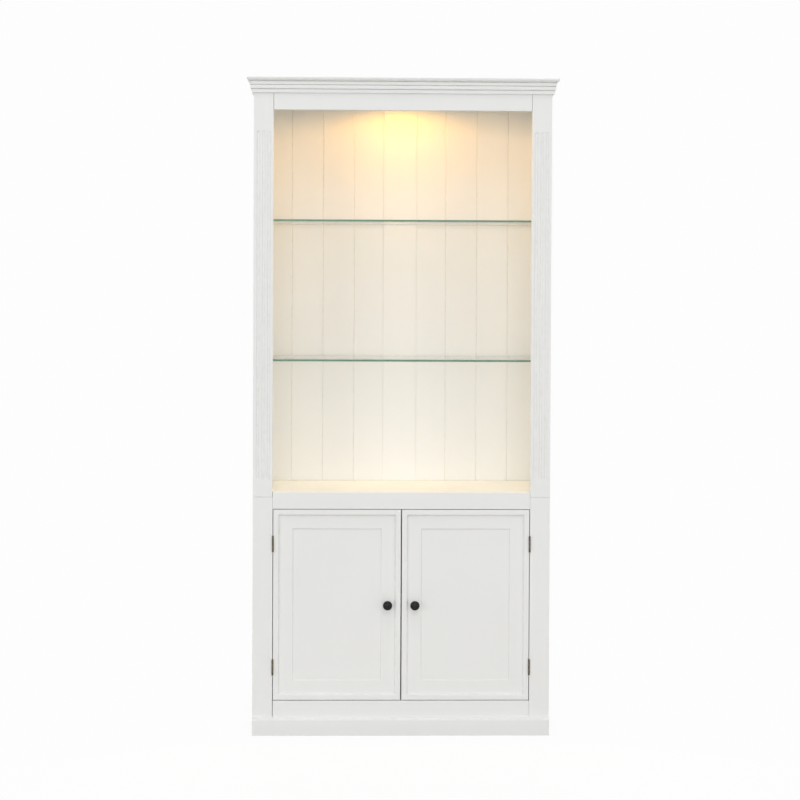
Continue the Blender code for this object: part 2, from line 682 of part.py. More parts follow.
def build_lamp(white, frosted):
    """A round housing, open below with a lip that carries the lens."""
    inner = LAMP_RADIUS - LAMP_WALL
    outer = LAMP_RADIUS + LAMP_FLANGE
    roof = LAMP_HEIGHT - LAMP_WALL
    profile = [
        (CORD_HOLE_RADIUS, roof),
        (CORD_HOLE_RADIUS, LAMP_HEIGHT),
        (LAMP_RADIUS, LAMP_HEIGHT),
        (LAMP_RADIUS, LAMP_FLANGE_HEIGHT),
        (outer, LAMP_FLANGE_HEIGHT),
        (outer, 0),
        (LAMP_RADIUS - LAMP_LIP_WIDTH, 0),
        (LAMP_RADIUS - LAMP_LIP_WIDTH, LAMP_LIP),
        (inner, LAMP_LIP),
        (inner, roof),
    ]
    place = (0, LAMP_Y, LAMP_BOTTOM)
    mesh = turned("lamp_housing", profile, LAMP_SIDES, (0, 0, 1))
    make_object("lamp_housing", mesh, white, place)
    seat = LAMP_LIP + GAP
    mesh = rod("lamp_lens", inner - GAP, seat, seat + LENS, LAMP_SIDES, (0, 0, 1))
    make_object("lamp_lens", mesh, frosted, place)


def main():
    clear_scene()
    materials = {
        "paint": make_material("white paint", (0.78, 0.78, 0.76), 0.45),
        "white": make_material("white plastic", (0.80, 0.80, 0.79), 0.40),
        "glass": make_material("shelf glass", (0.62, 0.80, 0.70), 0.05, transmission=1.0),
        "frosted": make_material("frosted lens", (0.95, 0.86, 0.66), 0.60, transmission=0.5),
        "steel": make_material("steel", (0.62, 0.62, 0.62), 0.30, metallic=1.0),
        "bronze": make_material("dull bronze", (0.23, 0.20, 0.16), 0.45, metallic=1.0),
        "black": make_material("black knob", (0.015, 0.015, 0.016), 0.30),
    }
    paint = materials["paint"]
    build_lower_boards(paint, materials["steel"])
    build_lower_frame(paint)
    build_doors(materials)
    build_upper_boards(paint, materials["steel"], materials["glass"])
    build_upper_back(paint)
    build_cornice(paint)
    build_lamp(materials["white"], materials["frosted"])


main()
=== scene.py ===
"""The looks of a tall painted display cabinet: its paint, mouldings, doors, glass shelves, metal
fittings, and the spotlight that glows on its grooved back.

Metres, +Z up, with the front towards -Y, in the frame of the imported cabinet."""

import math

import bmesh
import bpy
from mathutils import Matrix, Vector


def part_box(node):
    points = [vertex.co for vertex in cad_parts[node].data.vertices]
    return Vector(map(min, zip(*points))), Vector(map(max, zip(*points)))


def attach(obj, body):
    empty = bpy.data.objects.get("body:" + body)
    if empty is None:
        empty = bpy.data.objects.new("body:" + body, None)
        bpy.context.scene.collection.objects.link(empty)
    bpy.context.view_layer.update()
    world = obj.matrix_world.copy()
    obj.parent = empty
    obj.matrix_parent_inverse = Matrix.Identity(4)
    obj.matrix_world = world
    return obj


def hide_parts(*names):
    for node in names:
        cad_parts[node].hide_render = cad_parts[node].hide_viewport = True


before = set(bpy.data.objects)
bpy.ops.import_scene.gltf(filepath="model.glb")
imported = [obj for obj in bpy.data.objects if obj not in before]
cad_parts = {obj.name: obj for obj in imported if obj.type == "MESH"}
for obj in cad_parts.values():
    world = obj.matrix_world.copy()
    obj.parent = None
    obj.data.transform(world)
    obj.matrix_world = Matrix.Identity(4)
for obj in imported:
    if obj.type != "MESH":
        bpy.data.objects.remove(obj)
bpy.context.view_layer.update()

SIDES = {"left": -1, "right": 1}
LEVELS = ("upper", "lower")

# The play between pieces that fit together
GAP = 0.0003

# Finish of the boards' edges
FRAME_EASE = 0.0005
JOINT_EASE = 0.0011
EASE_STEPS = 3
ROUND_STEPS = 5
SHARP_ANGLE = 40
NOSE_ANGLE = 60
SMOOTH_ANGLE = 38

# Grooved back
GROOVE_WIDTH = 0.0032
GROOVE_DEPTH = 0.0022
GROOVE_EASE = 0.0004
FIRST_GROOVE = 0.0498
PLANK_PITCH = 0.1048
GROOVES_EACH_SIDE = 4

# Pilasters
FLUTE_COUNT = 3
FLUTE_PITCH = 0.0173
FLUTE_WIDTH = 0.0096
FLUTE_DEPTH = 0.0030
FLUTE_TOP_MARGIN = 0.0675
FLUTE_BOTTOM_MARGIN = 0.0558
FLUTE_SIDES = 64
FLUTE_RINGS = 32
FLUTE_MIDDLE = 0.00001
FLUTE_SMOOTH_ANGLE = 30
PILASTER_PLAY = {"left": 0.0010, "right": 0.0003}

# Mouldings
RAIL_NOSE = 0.0030
BOTTOM_RAIL_PLAY = 0.0018
BOTTOM_RAIL_PLAY_DEPTH = 0.0120
FOOT_SINK = 0.0016
SKIRTING_ROUND = 0.0090
NOSE_STEPS = 10
CORNICE_HEIGHT = 0.048
CORNICE_REACH = 0.022
CORNICE_FOOT = 0.0068
CORNICE_BAND = 0.0122
CORNICE_STEP = 0.0028
CORNICE_BEAD = 0.0012
CORNICE_LEAN = 0.0008
CORNICE_LIP_EDGE = 0.0015
CORNICE_QUIRK = 0.0014
CORNICE_QUIRK_DEPTH = 0.0030
CORNICE_STEPS = 14

# Doors
RIM_WIDTH = 0.0130
RIM_ROUND = 0.0018
RIM_STEP = 0.0080
RIM_OVOLO = 0.0050
RIM_OVOLO_DROP = 0.0036
RIM_COVE = 0.0100
DOOR_FRAME_WIDTH = 0.0640
PANEL_STEP = 0.0038
PANEL_OVOLO = 0.0055
PANEL = 0.006
PANEL_TONGUE = 0.007
DOOR_STEPS = 10
FACE_FRAME = 0.020

# Knobs
KNOB_RADIUS = 0.0150
KNOB_HEIGHT = 0.0318
KNOB_NECK_RADIUS = 0.0062
KNOB_FOOT_RADIUS = 0.0085
KNOB_FOOT = 0.0030
KNOB_FOOT_ROUND = 0.0010
KNOB_FLARE = 0.0060
KNOB_FLARE_STEPS = 14
KNOB_RIM = 0.0015
KNOB_EDGE = 0.0007
KNOB_EDGE_RISE = 0.0001
KNOB_EDGE_STEPS = 4
KNOB_DOME = 0.0085
KNOB_DOME_STEPS = 20
KNOB_SIDES = 72

# Butt hinges
HINGE_HEIGHT = 0.050
KNUCKLES = 3
KNUCKLE_RADIUS = 0.0030
KNUCKLE_BORE = 0.0016
KNUCKLE_SIDES = 40
KNUCKLE_EASE = 0.0003
LEAF = 0.0012
LEAF_EASE = 0.0002
LEAF_EASE_STEPS = 2
LEAF_SPACE = 0.0002
LEAF_DEPTH = 0.0156
NECK_ROOT = 0.0010
NECK_INSET = 0.0001
PIN_HEAD_RADIUS = 0.0022
PIN_HEAD = 0.0012
PIN_HEAD_STEPS = 8
HINGE_SCREWS = ((-0.0175, 0.0070), (0.0, 0.0108), (0.0175, 0.0070))
SCREW_RADIUS = 0.0025
SCREW_BOTTOM_RADIUS = 0.0013
SCREW_DEPTH = 0.0010
SCREW_SINK = 0.00005
SCREW_CROSS = 0.0013
SCREW_CROSS_WIDTH = 0.0005
SCREW_SIDES = 24

# Glass shelves
GLASS_EASE_STEPS = 2
FLAT_NORMAL = 0.9

# Shelf pins
PIN_SHANK_RADIUS = 0.0025
PIN_SHANK_LENGTH = 0.009
PIN_COLLAR_RADIUS = 0.0042
PIN_COLLAR = 0.0012
PIN_PEG_RADIUS = 0.0032
PIN_PEG_LENGTH = 0.010
PIN_SIDES = 32

# Magnetic catch
STRIKE_RADIUS = 0.008
STRIKE = 0.0010
STRIKE_X = 0.024
STRIKE_SCREW_SEED = 11
CATCH_SCREW_SEED = 7
MAGNET_RADIUS = 0.0068
MAGNET_RIM = 0.0008
MAGNET_SINK = 0.0002
CATCH_SCREW_X = 0.029
CATCH_SCREW_DROP = 0.009
CATCH_ROUND = 0.0014
CATCH_STEPS = 4
CATCH_SIDES = 48

# Spotlight
LAMP_RADIUS = 0.034
LAMP_HEIGHT = 0.028
LAMP_WALL = 0.0025
LAMP_FLANGE = 0.0015
LAMP_FLANGE_HEIGHT = 0.003
LAMP_FLANGE_STEPS = 10
LAMP_LIP = 0.0015
LAMP_LIP_WIDTH = 0.005
LAMP_SIDES = 96
LENS = 0.0025
LENS_RINGS = 9
LENS_RING_DEPTH = 0.0002
CORD_HOLE_RADIUS = 0.0040

# Finishes, in linear colour
PAINT = (0.869, 0.872, 0.863)
PAINT_SHADE = (0.849, 0.851, 0.842)
PAINT_WORN = (0.740, 0.725, 0.690)
DUST = (0.700, 0.690, 0.670)
GLASS_CLEAR = (0.970, 0.985, 0.970)
GLASS_PASSING = (0.950, 0.965, 0.950)
GLASS_EDGE = (0.045, 0.165, 0.090)
GLASS_EDGE_LIGHT = (0.130, 0.310, 0.200)
STEEL = (0.600, 0.600, 0.590)
STEEL_DULL = (0.400, 0.400, 0.390)
BRONZE = (0.150, 0.125, 0.095)
BRONZE_DARK = (0.060, 0.050, 0.040)
BRONZE_WORN = (0.360, 0.300, 0.220)
BLACK = (0.0050, 0.0050, 0.0055)
BLACK_WORN = (0.0120, 0.0115, 0.0110)
PLASTIC = (0.780, 0.780, 0.765)
LAMP_WHITE = (0.780, 0.780, 0.770)
LENS_COLOUR = (0.900, 0.800, 0.600)
LENS_GLOW = (1.000, 0.780, 0.420)
LENS_GLOW_STRENGTH = 4.0
# The share by which the lens's colour is painted lighter in its middle, as a painted glow of the
# bulb behind it
LENS_PAINTED_GLOW = 1.1
LENS_RIM_GLOW = 0.45
MAGNET = (0.070, 0.070, 0.072)
PLASTIC_SHADE = 0.95
LAMP_SHADE = 0.96
WHITE = (1.0, 1.0, 1.0, 1.0)

# The least and greatest roughness of each finish, and the (strength, distance) of its relief
PAINT_ROUGHNESS = (0.46, 0.58)
PAINT_RELIEF = (0.10, 0.0002)
GLASS_RELIEF = (0.05, 0.0004)
GLASS_EDGE_ROUGHNESS = (0.08, 0.20)
GLASS_EDGE_RELIEF = (0.08, 0.0001)
STEEL_ROUGHNESS = (0.24, 0.38)
STEEL_RELIEF = (0.10, 0.0001)
BRONZE_ROUGHNESS = (0.36, 0.55)
BRONZE_RELIEF = (0.18, 0.0001)
BLACK_ROUGHNESS = (0.26, 0.36)
BLACK_RELIEF = (0.12, 0.0001)
BLACK_SPECULAR = 0.22
PLASTIC_ROUGHNESS = (0.36, 0.44)
PLASTIC_RELIEF = (0.15, 0.0001)
LAMP_ROUGHNESS = (0.28, 0.36)
LAMP_RELIEF = (0.12, 0.0001)
LENS_ROUGHNESS = (0.40, 0.55)
LENS_RELIEF = (0.25, 0.0001)
GLASS_IOR = 1.5

# Scales of the patterns in the finishes, per metre
STROKES_UPRIGHT = (300.0, 300.0, 9.0)
STROKES_ACROSS = (9.0, 300.0, 300.0)
STROKES_DEEP = (300.0, 9.0, 300.0)
DRIFT_SCALE = 7.0
GLASS_RIPPLE = 6.0
GLASS_BANDS = (22.0, 22.0, 700.0)
GLASS_GRIND = 1500.0
KNOB_TURNING = (500.0, 2600.0, 500.0)
LENS_GRAIN = 1800.0
FLOOR_SPECKLE = 40.0

# Wear and dust
PAINT_WEAR = 0.45
PAINT_DUST = 0.25
BOARD_DUST = 0.45
DUST_DULLS = 0.5
BRONZE_WEAR = 0.35
LAMP_WEAR = 0.20

# Limits of the masks. The wide spread holds nearly all values of a noise
WIDE_SPREAD = (0.30, 0.70)
PATCH_SPREAD = (0.38, 0.62)
BAND_SPREAD = (0.40, 0.70)
WEAR_SPREAD = (0.42, 0.62)
DRIFT_SPREAD = (0.35, 0.70)
SPECK_SPREAD = (0.35, 0.65)
EDGE_SLOPE = (0.985, 0.90)
UPWARD_SLOPE = (0.80, 0.98)
LEAST_DRIFT = 0.35
LEAST_SPECK = 0.5
PEEL_SHARE = 0.65
CLOUD_SHARE = 0.75
LINE_SHARE = 0.6

# Sockets of the Mix node for colours, and of the Random Value node for numbers
MIX_FACTOR = 0
MIX_COLOURS = (6, 7)
MIX_RESULT = 2
RANDOM_LEAST = 2
RANDOM_GREATEST = 3
RANDOM_RESULT = 1

# Light in the studio: (name, place, size, power)
BACKGROUND = 0.983
WORLD_STRENGTH = 0.50
SOFTBOXES = (
    ("front softbox", (0.0, -16.0, 1.0), 8.0, 400.0),
    ("high softbox", (0.0, -18.0, 13.0), 8.0, 620.0),
    ("left softbox", (-11.0, -13.0, 2.0), 6.0, 380.0),
    ("right softbox", (11.0, -13.0, 2.0), 6.0, 260.0),
    ("top softbox", (0.0, -7.0, 17.0), 8.0, 450.0),
    ("left wing softbox", (-14.0, 3.0, 3.0), 6.0, 200.0),
    ("right wing softbox", (14.0, 3.0, 3.0), 6.0, 200.0),
    ("rear softbox", (0.0, 8.0, 3.0), 4.0, 260.0),
)
LIGHT_AIM = (0.0, 0.0, 1.05)

# Floor. It is white to the camera, and keeps a share of the cabinet's shadow near its foot
FLOOR_REACH = 30
FLOOR_BOTTOM = -0.02
FLOOR_TOP = -0.0002
FLOOR_ROUGHNESS = 0.8
FLOOR_PALE = (0.49, 0.49, 0.49)
FLOOR_PALER = (0.51, 0.51, 0.51)
FLOOR_WHITE = 1.055
SHADOW_SHARE = 0.12
SHADOW_START = 0.45
SHADOW_END = 1.70

# The cabinet's own spotlight. The glow fades with distance, and the spill doesn't
SPOT_RADIUS = 0.02
SPOT_GLOW = (1.0, 0.46, 0.0)
SPOT_GLOW_POWER = 16.2
SPOT_GLOW_BEAM = (176.0, 0.30)
SPOT_SPILL = (0.86, 1.0, 0.80)
SPOT_SPILL_POWER = 5.8
SPOT_SPILL_BEAM = (179.5, 0.12)

# The camera, as fitted to the edges that the photograph shows
CAMERA_PLACE = (-0.15821, -6.4027, 1.44721)
CAMERA_YAW = 0.02442
CAMERA_PITCH = 0.01989
CAMERA_ROLL = 0.00451
CAMERA_LENS = 87.755
SENSOR = 36.0
SHIFT_X = -0.0006
SHIFT_Y = -0.0974


# Nodes

def give(tree, socket, value):
    """Links an input to a socket, or sets its value."""
    if isinstance(value, bpy.types.NodeSocket):
        tree.links.new(value, socket)
    else:
        socket.default_value = value


def add(tree, kind, inputs=None, **settings):
    """A node with its settings and its inputs."""
    node = tree.nodes.new(kind)
    for key, value in settings.items():
        setattr(node, key, value)
    for key, value in (inputs or {}).items():
        give(tree, node.inputs[key], value)
    return node


def feed(tree, node, **values):
    """Gives a node its inputs. A name has _ where the socket's own name has a space."""
    for label, value in values.items():
        give(tree, node.inputs[label.replace("_", " ")], value)


def new_tree(name, kind, inputs, outputs):
    """A node group with named sockets. Returns it with its input and output nodes."""
    tree = bpy.data.node_groups.new(name, kind)
    for label, socket_type, value in inputs:
        socket = tree.interface.new_socket(label, in_out="INPUT", socket_type=socket_type)
        if value is not None:
            socket.default_value = value
    for label, socket_type in outputs:
        tree.interface.new_socket(label, in_out="OUTPUT", socket_type=socket_type)
    return tree, tree.nodes.new("NodeGroupInput"), tree.nodes.new("NodeGroupOutput")


def maths(tree, operation, first, second=0.0, clamp=False):
    """The result of an operation on one or two values."""
    inputs = {0: first, 1: second}
    node = add(tree, "ShaderNodeMath", inputs, operation=operation, use_clamp=clamp)
    return node.outputs["Value"]


def product(tree, *values):
    """All the values, multiplied."""
    total = values[0]
    for value in values[1:]:
        total = maths(tree, "MULTIPLY", total, value)
    return total


def shared(tree, first, second, share):
    """A share of the first value, and the rest of the second."""
    rest = maths(tree, "MULTIPLY", second, 1.0 - share)
    return maths(tree, "ADD", maths(tree, "MULTIPLY", first, share), rest)


def ramp(tree, value, low, high, start=0.0, end=1.0):
    """Brings a value from between low and high to between start and end, and keeps it there."""
    inputs = {
        "Value": value,
        "From Min": low,
        "From Max": high,
        "To Min": start,
        "To Max": end,
    }
    return add(tree, "ShaderNodeMapRange", inputs).outputs["Result"]


def on_piece(tree):
    """The place on the piece, in metres."""
    return add(tree, "ShaderNodeTexCoord").outputs["Object"]


def facing(tree):
    """The three parts of the direction that the surface faces."""
    normal = add(tree, "ShaderNodeTexCoord").outputs["Normal"]
    return add(tree, "ShaderNodeSeparateXYZ", {"Vector": normal}).outputs


def stretched(tree, place, scale):
    """The place, scaled along each axis."""
    inputs = {"Vector": place, "Scale": scale}
    return add(tree, "ShaderNodeMapping", inputs).outputs["Vector"]


def in_view(tree):
    """1 for rays from the camera and those that shiny or clear things send on, otherwise 0."""
    rays = add(tree, "ShaderNodeLightPath").outputs
    seen = maths(tree, "MAXIMUM", rays["Is Camera Ray"], rays["Is Glossy Ray"])
    return maths(tree, "MAXIMUM", seen, rays["Is Transmission Ray"])


def noise(tree, place, scale, detail=2.0, roughness=0.5):
    """A cloudy value about one half."""
    inputs = {"Vector": place, "Scale": scale, "Detail": detail, "Roughness": roughness}
    return add(tree, "ShaderNodeTexNoise", inputs).outputs["Fac"]


def mixed(tree, factor, *colours):
    """The colour between two colours, by a factor from a mask."""
    node = add(tree, "ShaderNodeMix", {MIX_FACTOR: factor}, data_type="RGBA")
    for index, colour in zip(MIX_COLOURS, colours):
        if not isinstance(colour, bpy.types.NodeSocket):
            colour = (*colour, 1.0)
        give(tree, node.inputs[index], colour)
    return node.outputs[MIX_RESULT]


# Effects that several finishes share

def make_paint_film():
    """The fine texture of a sprayed and rubbed coat, with faint strokes along the board."""
    tree, given, result = new_tree(
        "paint film",
        "ShaderNodeTree",
        [
            ("Peel Scale", "NodeSocketFloat", 620.0),
            ("Stroke Scale", "NodeSocketVector", STROKES_UPRIGHT),
            ("Cloud Scale", "NodeSocketFloat", 2.6),
        ],
        [
            ("Height", "NodeSocketFloat"),
            ("Shade", "NodeSocketFloat"),
            ("Gloss", "NodeSocketFloat"),
        ],
    )
    place = on_piece(tree)
    peel = noise(tree, place, given.outputs["Peel Scale"], 1.5)
    along = stretched(tree, place, given.outputs["Stroke Scale"])
    strokes = noise(tree, along, 1.0, 3.0, 0.6)
    clouds = noise(tree, place, given.outputs["Cloud Scale"], 3.0, 0.55)
    cloud_shade = ramp(tree, clouds, *WIDE_SPREAD, 0.0, CLOUD_SHARE)
    stroke_shade = ramp(tree, strokes, *WIDE_SPREAD, 0.0, 1.0 - CLOUD_SHARE)
    shade = maths(tree, "ADD", cloud_shade, stroke_shade)
    height = shared(tree, peel, strokes, PEEL_SHARE)
    feed(tree, result, Height=height, Shade=shade, Gloss=shared(tree, clouds, strokes, 0.5))
    return tree


def make_worn_edges():
    """A mask for edges between the flat faces, broken into patches."""
    tree, given, result = new_tree(
        "worn edges",
        "ShaderNodeTree",
        [
            ("Patch Scale", "NodeSocketFloat", 45.0),
            ("Amount", "NodeSocketFloat", 0.5),
        ],
        [("Worn", "NodeSocketFloat")],
    )
    sizes = [maths(tree, "ABSOLUTE", socket) for socket in facing(tree)]
    greatest = maths(tree, "MAXIMUM", maths(tree, "MAXIMUM", sizes[0], sizes[1]), sizes[2])
    edge = ramp(tree, greatest, *EDGE_SLOPE)
    patches = noise(tree, on_piece(tree), given.outputs["Patch Scale"], 4.0, 0.65)
    broken = ramp(tree, patches, *WEAR_SPREAD)
    feed(tree, result, Worn=product(tree, edge, broken, given.outputs["Amount"]))
    return tree


def make_settled_dust():
    """A thin uneven layer on faces that look up."""
    tree, given, result = new_tree(
        "settled dust",
        "ShaderNodeTree",
        [("Amount", "NodeSocketFloat", 0.2), ("Speck Scale", "NodeSocketFloat", 900.0)],
        [("Dust", "NodeSocketFloat")],
    )
    place = on_piece(tree)
    upward = ramp(tree, facing(tree)["Z"], *UPWARD_SLOPE)
    drifts = ramp(tree, noise(tree, place, DRIFT_SCALE, 4.0), *DRIFT_SPREAD, LEAST_DRIFT, 1.0)
    specks = noise(tree, place, given.outputs["Speck Scale"], 1.0)
    specks = ramp(tree, specks, *SPECK_SPREAD, LEAST_SPECK, 1.0)
    feed(tree, result, Dust=product(tree, upward, drifts, specks, given.outputs["Amount"]))
    return tree


def make_metal_skin():
    """Patches of tarnish, and the fine lines that a metal is rubbed or drawn with."""
    tree, given, result = new_tree(
        "metal skin",
        "ShaderNodeTree",
        [
            ("Patch Scale", "NodeSocketFloat", 220.0),
            ("Line Scale", "NodeSocketVector", (900.0, 900.0, 4000.0)),
        ],
        [("Tarnish", "NodeSocketFloat"), ("Height", "NodeSocketFloat")],
    )
    place = on_piece(tree)
    patches = noise(tree, place, given.outputs["Patch Scale"], 4.0, 0.6)
    lines = noise(tree, stretched(tree, place, given.outputs["Line Scale"]), 1.0, 2.0)
    height = shared(tree, lines, patches, LINE_SHARE)
    feed(tree, result, Tarnish=ramp(tree, patches, *PATCH_SPREAD), Height=height)
    return tree


effects = {
    "film": make_paint_film(),
    "worn": make_worn_edges(),
    "dust": make_settled_dust(),
    "metal": make_metal_skin(),
}


def effect(tree, name, **inputs):
    """The results of a shared effect with this finish's values."""
    node = add(tree, "ShaderNodeGroup", node_tree=effects[name])
    feed(tree, node, **inputs)
    return node.outputs


# Finishes

def new_finish(name, roughness=0.5, metallic=0.0):
    """A new material, with its node tree and its shader."""
    material = bpy.data.materials.new(name)
    material.use_nodes = True
    tree = material.node_tree
    shader = tree.nodes["Principled BSDF"]
    feed(tree, shader, Roughness=roughness, Metallic=metallic)
    return material, tree, shader


def raise_surface(tree, shader, height, relief):
    """Lets a height move the light on the surface. relief is (strength, distance)."""
    inputs = {"Height": height, "Strength": relief[0], "Distance": relief[1]}
    feed(tree, shader, Normal=add(tree, "ShaderNodeBump", inputs).outputs["Normal"])


def cover(tree, shader, colour, rough, height, relief):
    """Gives a shader its colour, its roughness and its relief."""
    feed(tree, shader, Base_Color=colour, Roughness=rough)
    raise_surface(tree, shader, height, relief)


def white_paint(name, strokes, dust=PAINT_DUST):
    """Satin white paint, its faint strokes running with the board."""
    material, tree, shader = new_finish(name)
    film = effect(tree, "film", Stroke_Scale=strokes)
    worn = effect(tree, "worn", Amount=PAINT_WEAR)["Worn"]
    settled = effect(tree, "dust", Amount=dust)["Dust"]
    colour = mixed(tree, film["Shade"], PAINT, PAINT_SHADE)
    colour = mixed(tree, worn, colour, PAINT_WORN)
    colour = mixed(tree, settled, colour, DUST)
    gloss = ramp(tree, film["Gloss"], *WIDE_SPREAD, *PAINT_ROUGHNESS)
    dulled = maths(tree, "MULTIPLY", settled, DUST_DULLS)
    rough = maths(tree, "ADD", gloss, dulled, clamp=True)
    cover(tree, shader, colour, rough, film["Height"], PAINT_RELIEF)
    return material


def shelf_glass():
    """Clear float glass. Light and shadow pass it, so that the shelf below stays lit."""
    material, tree, shader = new_finish("shelf glass", roughness=0.0)
    shader.inputs["Base Color"].default_value = (*GLASS_CLEAR, 1.0)
    shader.inputs["Transmission Weight"].default_value = 1.0
    shader.inputs["IOR"].default_value = GLASS_IOR
    raise_surface(tree, shader, noise(tree, on_piece(tree), GLASS_RIPPLE, 1.0), GLASS_RELIEF)
    clear = add(tree, "ShaderNodeBsdfTransparent", {"Color": (*GLASS_PASSING, 1.0)})
    rays = add(tree, "ShaderNodeLightPath").outputs
    passing = maths(tree, "MAXIMUM", rays["Is Shadow Ray"], rays["Is Diffuse Ray"])
    inputs = {0: passing, 1: shader.outputs[0], 2: clear.outputs[0]}
    both = add(tree, "ShaderNodeMixShader", inputs)
    feed(tree, tree.nodes["Material Output"], Surface=both.outputs[0])
    return material


def glass_edge():
    """The ground and polished edge, where the glass shows its own green."""
    material, tree, shader = new_finish("shelf glass edge")
    place = on_piece(tree)
    bands = noise(tree, stretched(tree, place, GLASS_BANDS), 1.0, 3.0, 0.6)
    colour = mixed(tree, ramp(tree, bands, *BAND_SPREAD), GLASS_EDGE, GLASS_EDGE_LIGHT)
    rough = ramp(tree, bands, *WIDE_SPREAD, *GLASS_EDGE_ROUGHNESS)
    cover(tree, shader, colour, rough, noise(tree, place, GLASS_GRIND, 1.0), GLASS_EDGE_RELIEF)
    return material


def steel(name, colour=STEEL, dull=STEEL_DULL):
    """Bare drawn metal with duller patches."""
    material, tree, shader = new_finish(name, metallic=1.0)
    skin = effect(tree, "metal", Patch_Scale=300.0)
    colour = mixed(tree, skin["Tarnish"], colour, dull)
    rough = ramp(tree, skin["Tarnish"], 0.0, 1.0, *STEEL_ROUGHNESS)
    cover(tree, shader, colour, rough, skin["Height"], STEEL_RELIEF)
    return material


def hinge_bronze():
    """Browned brass with darker tarnish, rubbed bright on its edges."""
    material, tree, shader = new_finish("dull bronze", metallic=1.0)
    skin = effect(tree, "metal", Patch_Scale=260.0)
    worn = effect(tree, "worn", Amount=BRONZE_WEAR, Patch_Scale=180.0)["Worn"]
    colour = mixed(tree, skin["Tarnish"], BRONZE, BRONZE_DARK)
    colour = mixed(tree, worn, colour, BRONZE_WORN)
    rough = ramp(tree, skin["Tarnish"], 0.0, 1.0, *BRONZE_ROUGHNESS)
    cover(tree, shader, colour, rough, skin["Height"], BRONZE_RELIEF)
    return material


def black_knob():
    """Black enamel over turned metal, with a soft shine and faint turning lines."""
    material, tree, shader = new_finish("black enamel")
    skin = effect(tree, "metal", Patch_Scale=160.0, Line_Scale=KNOB_TURNING)
    colour = mixed(tree, skin["Tarnish"], BLACK, BLACK_WORN)
    rough = ramp(tree, skin["Tarnish"], 0.0, 1.0, *BLACK_ROUGHNESS)
    cover(tree, shader, colour, rough, skin["Height"], BLACK_RELIEF)
    shader.inputs["Specular IOR Level"].default_value = BLACK_SPECULAR
    return material


def even_scale(size):
    """The same scale along all three axes."""
    return (size, size, size)


def shaded(colour, share):
    """A colour with each part taken down or up to a share of itself."""
    return tuple(share * part for part in colour)


def white_plastic():
    """Moulded plastic with a fine even grain."""
    material, tree, shader = new_finish("white plastic")
    grain = {"Peel_Scale": 1500.0, "Stroke_Scale": even_scale(60.0), "Cloud_Scale": 30.0}
    film = effect(tree, "film", **grain)
    colour = mixed(tree, film["Shade"], PLASTIC, shaded(PLASTIC, PLASTIC_SHADE))
    rough = ramp(tree, film["Gloss"], *WIDE_SPREAD, *PLASTIC_ROUGHNESS)
    cover(tree, shader, colour, rough, film["Height"], PLASTIC_RELIEF)
    return material


def lamp_white():
    """White stove enamel on the spotlight's housing."""
    material, tree, shader = new_finish("lamp enamel")
    grain = {"Peel_Scale": 900.0, "Stroke_Scale": even_scale(90.0), "Cloud_Scale": 24.0}
    film = effect(tree, "film", **grain)
    worn = effect(tree, "worn", Amount=LAMP_WEAR, Patch_Scale=120.0)["Worn"]
    colour = mixed(tree, film["Shade"], LAMP_WHITE, shaded(LAMP_WHITE, LAMP_SHADE))
    colour = mixed(tree, worn, colour, PAINT_WORN)
    rough = ramp(tree, film["Gloss"], *WIDE_SPREAD, *LAMP_ROUGHNESS)
    cover(tree, shader, colour, rough, film["Height"], LAMP_RELIEF)
    return material


def lamp_lens():
    """Frosted glass in front of the lit bulb. Its glow is brightest in its middle, and its colour
    is painted lighter there as a painted glow.
    """
    material, tree, shader = new_finish("frosted lens")
    place = on_piece(tree)
    low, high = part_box("lamp_lens")
    inputs = {"Vector": place, "Location": -(low + high) / 2}
    centred = add(tree, "ShaderNodeMapping", inputs).outputs["Vector"]
    parts = add(tree, "ShaderNodeSeparateXYZ", {"Vector": centred}).outputs
    squares = [maths(tree, "MULTIPLY", parts[axis], parts[axis]) for axis in "XY"]
    distance = maths(tree, "SQRT", maths(tree, "ADD", *squares))
    lit = ramp(tree, distance, LAMP_RADIUS, 0.0)
    grain = noise(tree, place, LENS_GRAIN, 2.0)
    # Painted glow: the lens's colour is made lighter towards its middle, where the bulb lights it
    bright = tuple(min(1.0, part) for part in shaded(LENS_COLOUR, LENS_PAINTED_GLOW))
    colour = mixed(tree, lit, LENS_COLOUR, bright)
    rough = ramp(tree, grain, *WIDE_SPREAD, *LENS_ROUGHNESS)
    cover(tree, shader, colour, rough, grain, LENS_RELIEF)
    glow = mixed(tree, lit, shaded(LENS_GLOW, LENS_RIM_GLOW), LENS_GLOW)
    feed(tree, shader, Emission_Color=glow)
    shader.inputs["Emission Strength"].default_value = LENS_GLOW_STRENGTH
    return material


finishes = {
    "upright": white_paint("white paint upright", STROKES_UPRIGHT),
    "across": white_paint("white paint across", STROKES_ACROSS),
    "deep": white_paint("white paint front to back", STROKES_DEEP, BOARD_DUST),
    "glass": shelf_glass(),
    "glass_edge": glass_edge(),
    "steel": steel("steel"),
    "magnet": steel("dark magnet", MAGNET, STEEL_DULL),
    "bronze": hinge_bronze(),
    "black": black_knob(),
    "plastic": white_plastic(),
    "lamp": lamp_white(),
    "lens": lamp_lens(),
}


# Shapes

def to_mesh(name, bm):
    """The finished mesh of a shape, with its faces turned outwards."""
    bmesh.ops.recalc_face_normals(bm, faces=bm.faces)
    mesh = bpy.data.meshes.new(name)
    bm.to_mesh(mesh)
    bm.free()
    return mesh


def eased(bm, edges, width, steps):
    """Rounds edges over by a width."""
    bmesh.ops.bevel(bm, geom=edges, offset=width, segments=steps, profile=0.5, affect="EDGES")


def arc(centre, across, upward, start, end, steps):
    """Points of an ellipse's arc, with its half sizes across and upward, angles in degrees."""
    points = []
    for step in range(steps + 1):
        angle = math.radians(start + (end - start) * step / steps)
        x = centre[0] + across * math.cos(angle)
        y = centre[1] + upward * math.sin(angle)
        points.append((x, y))
    return points


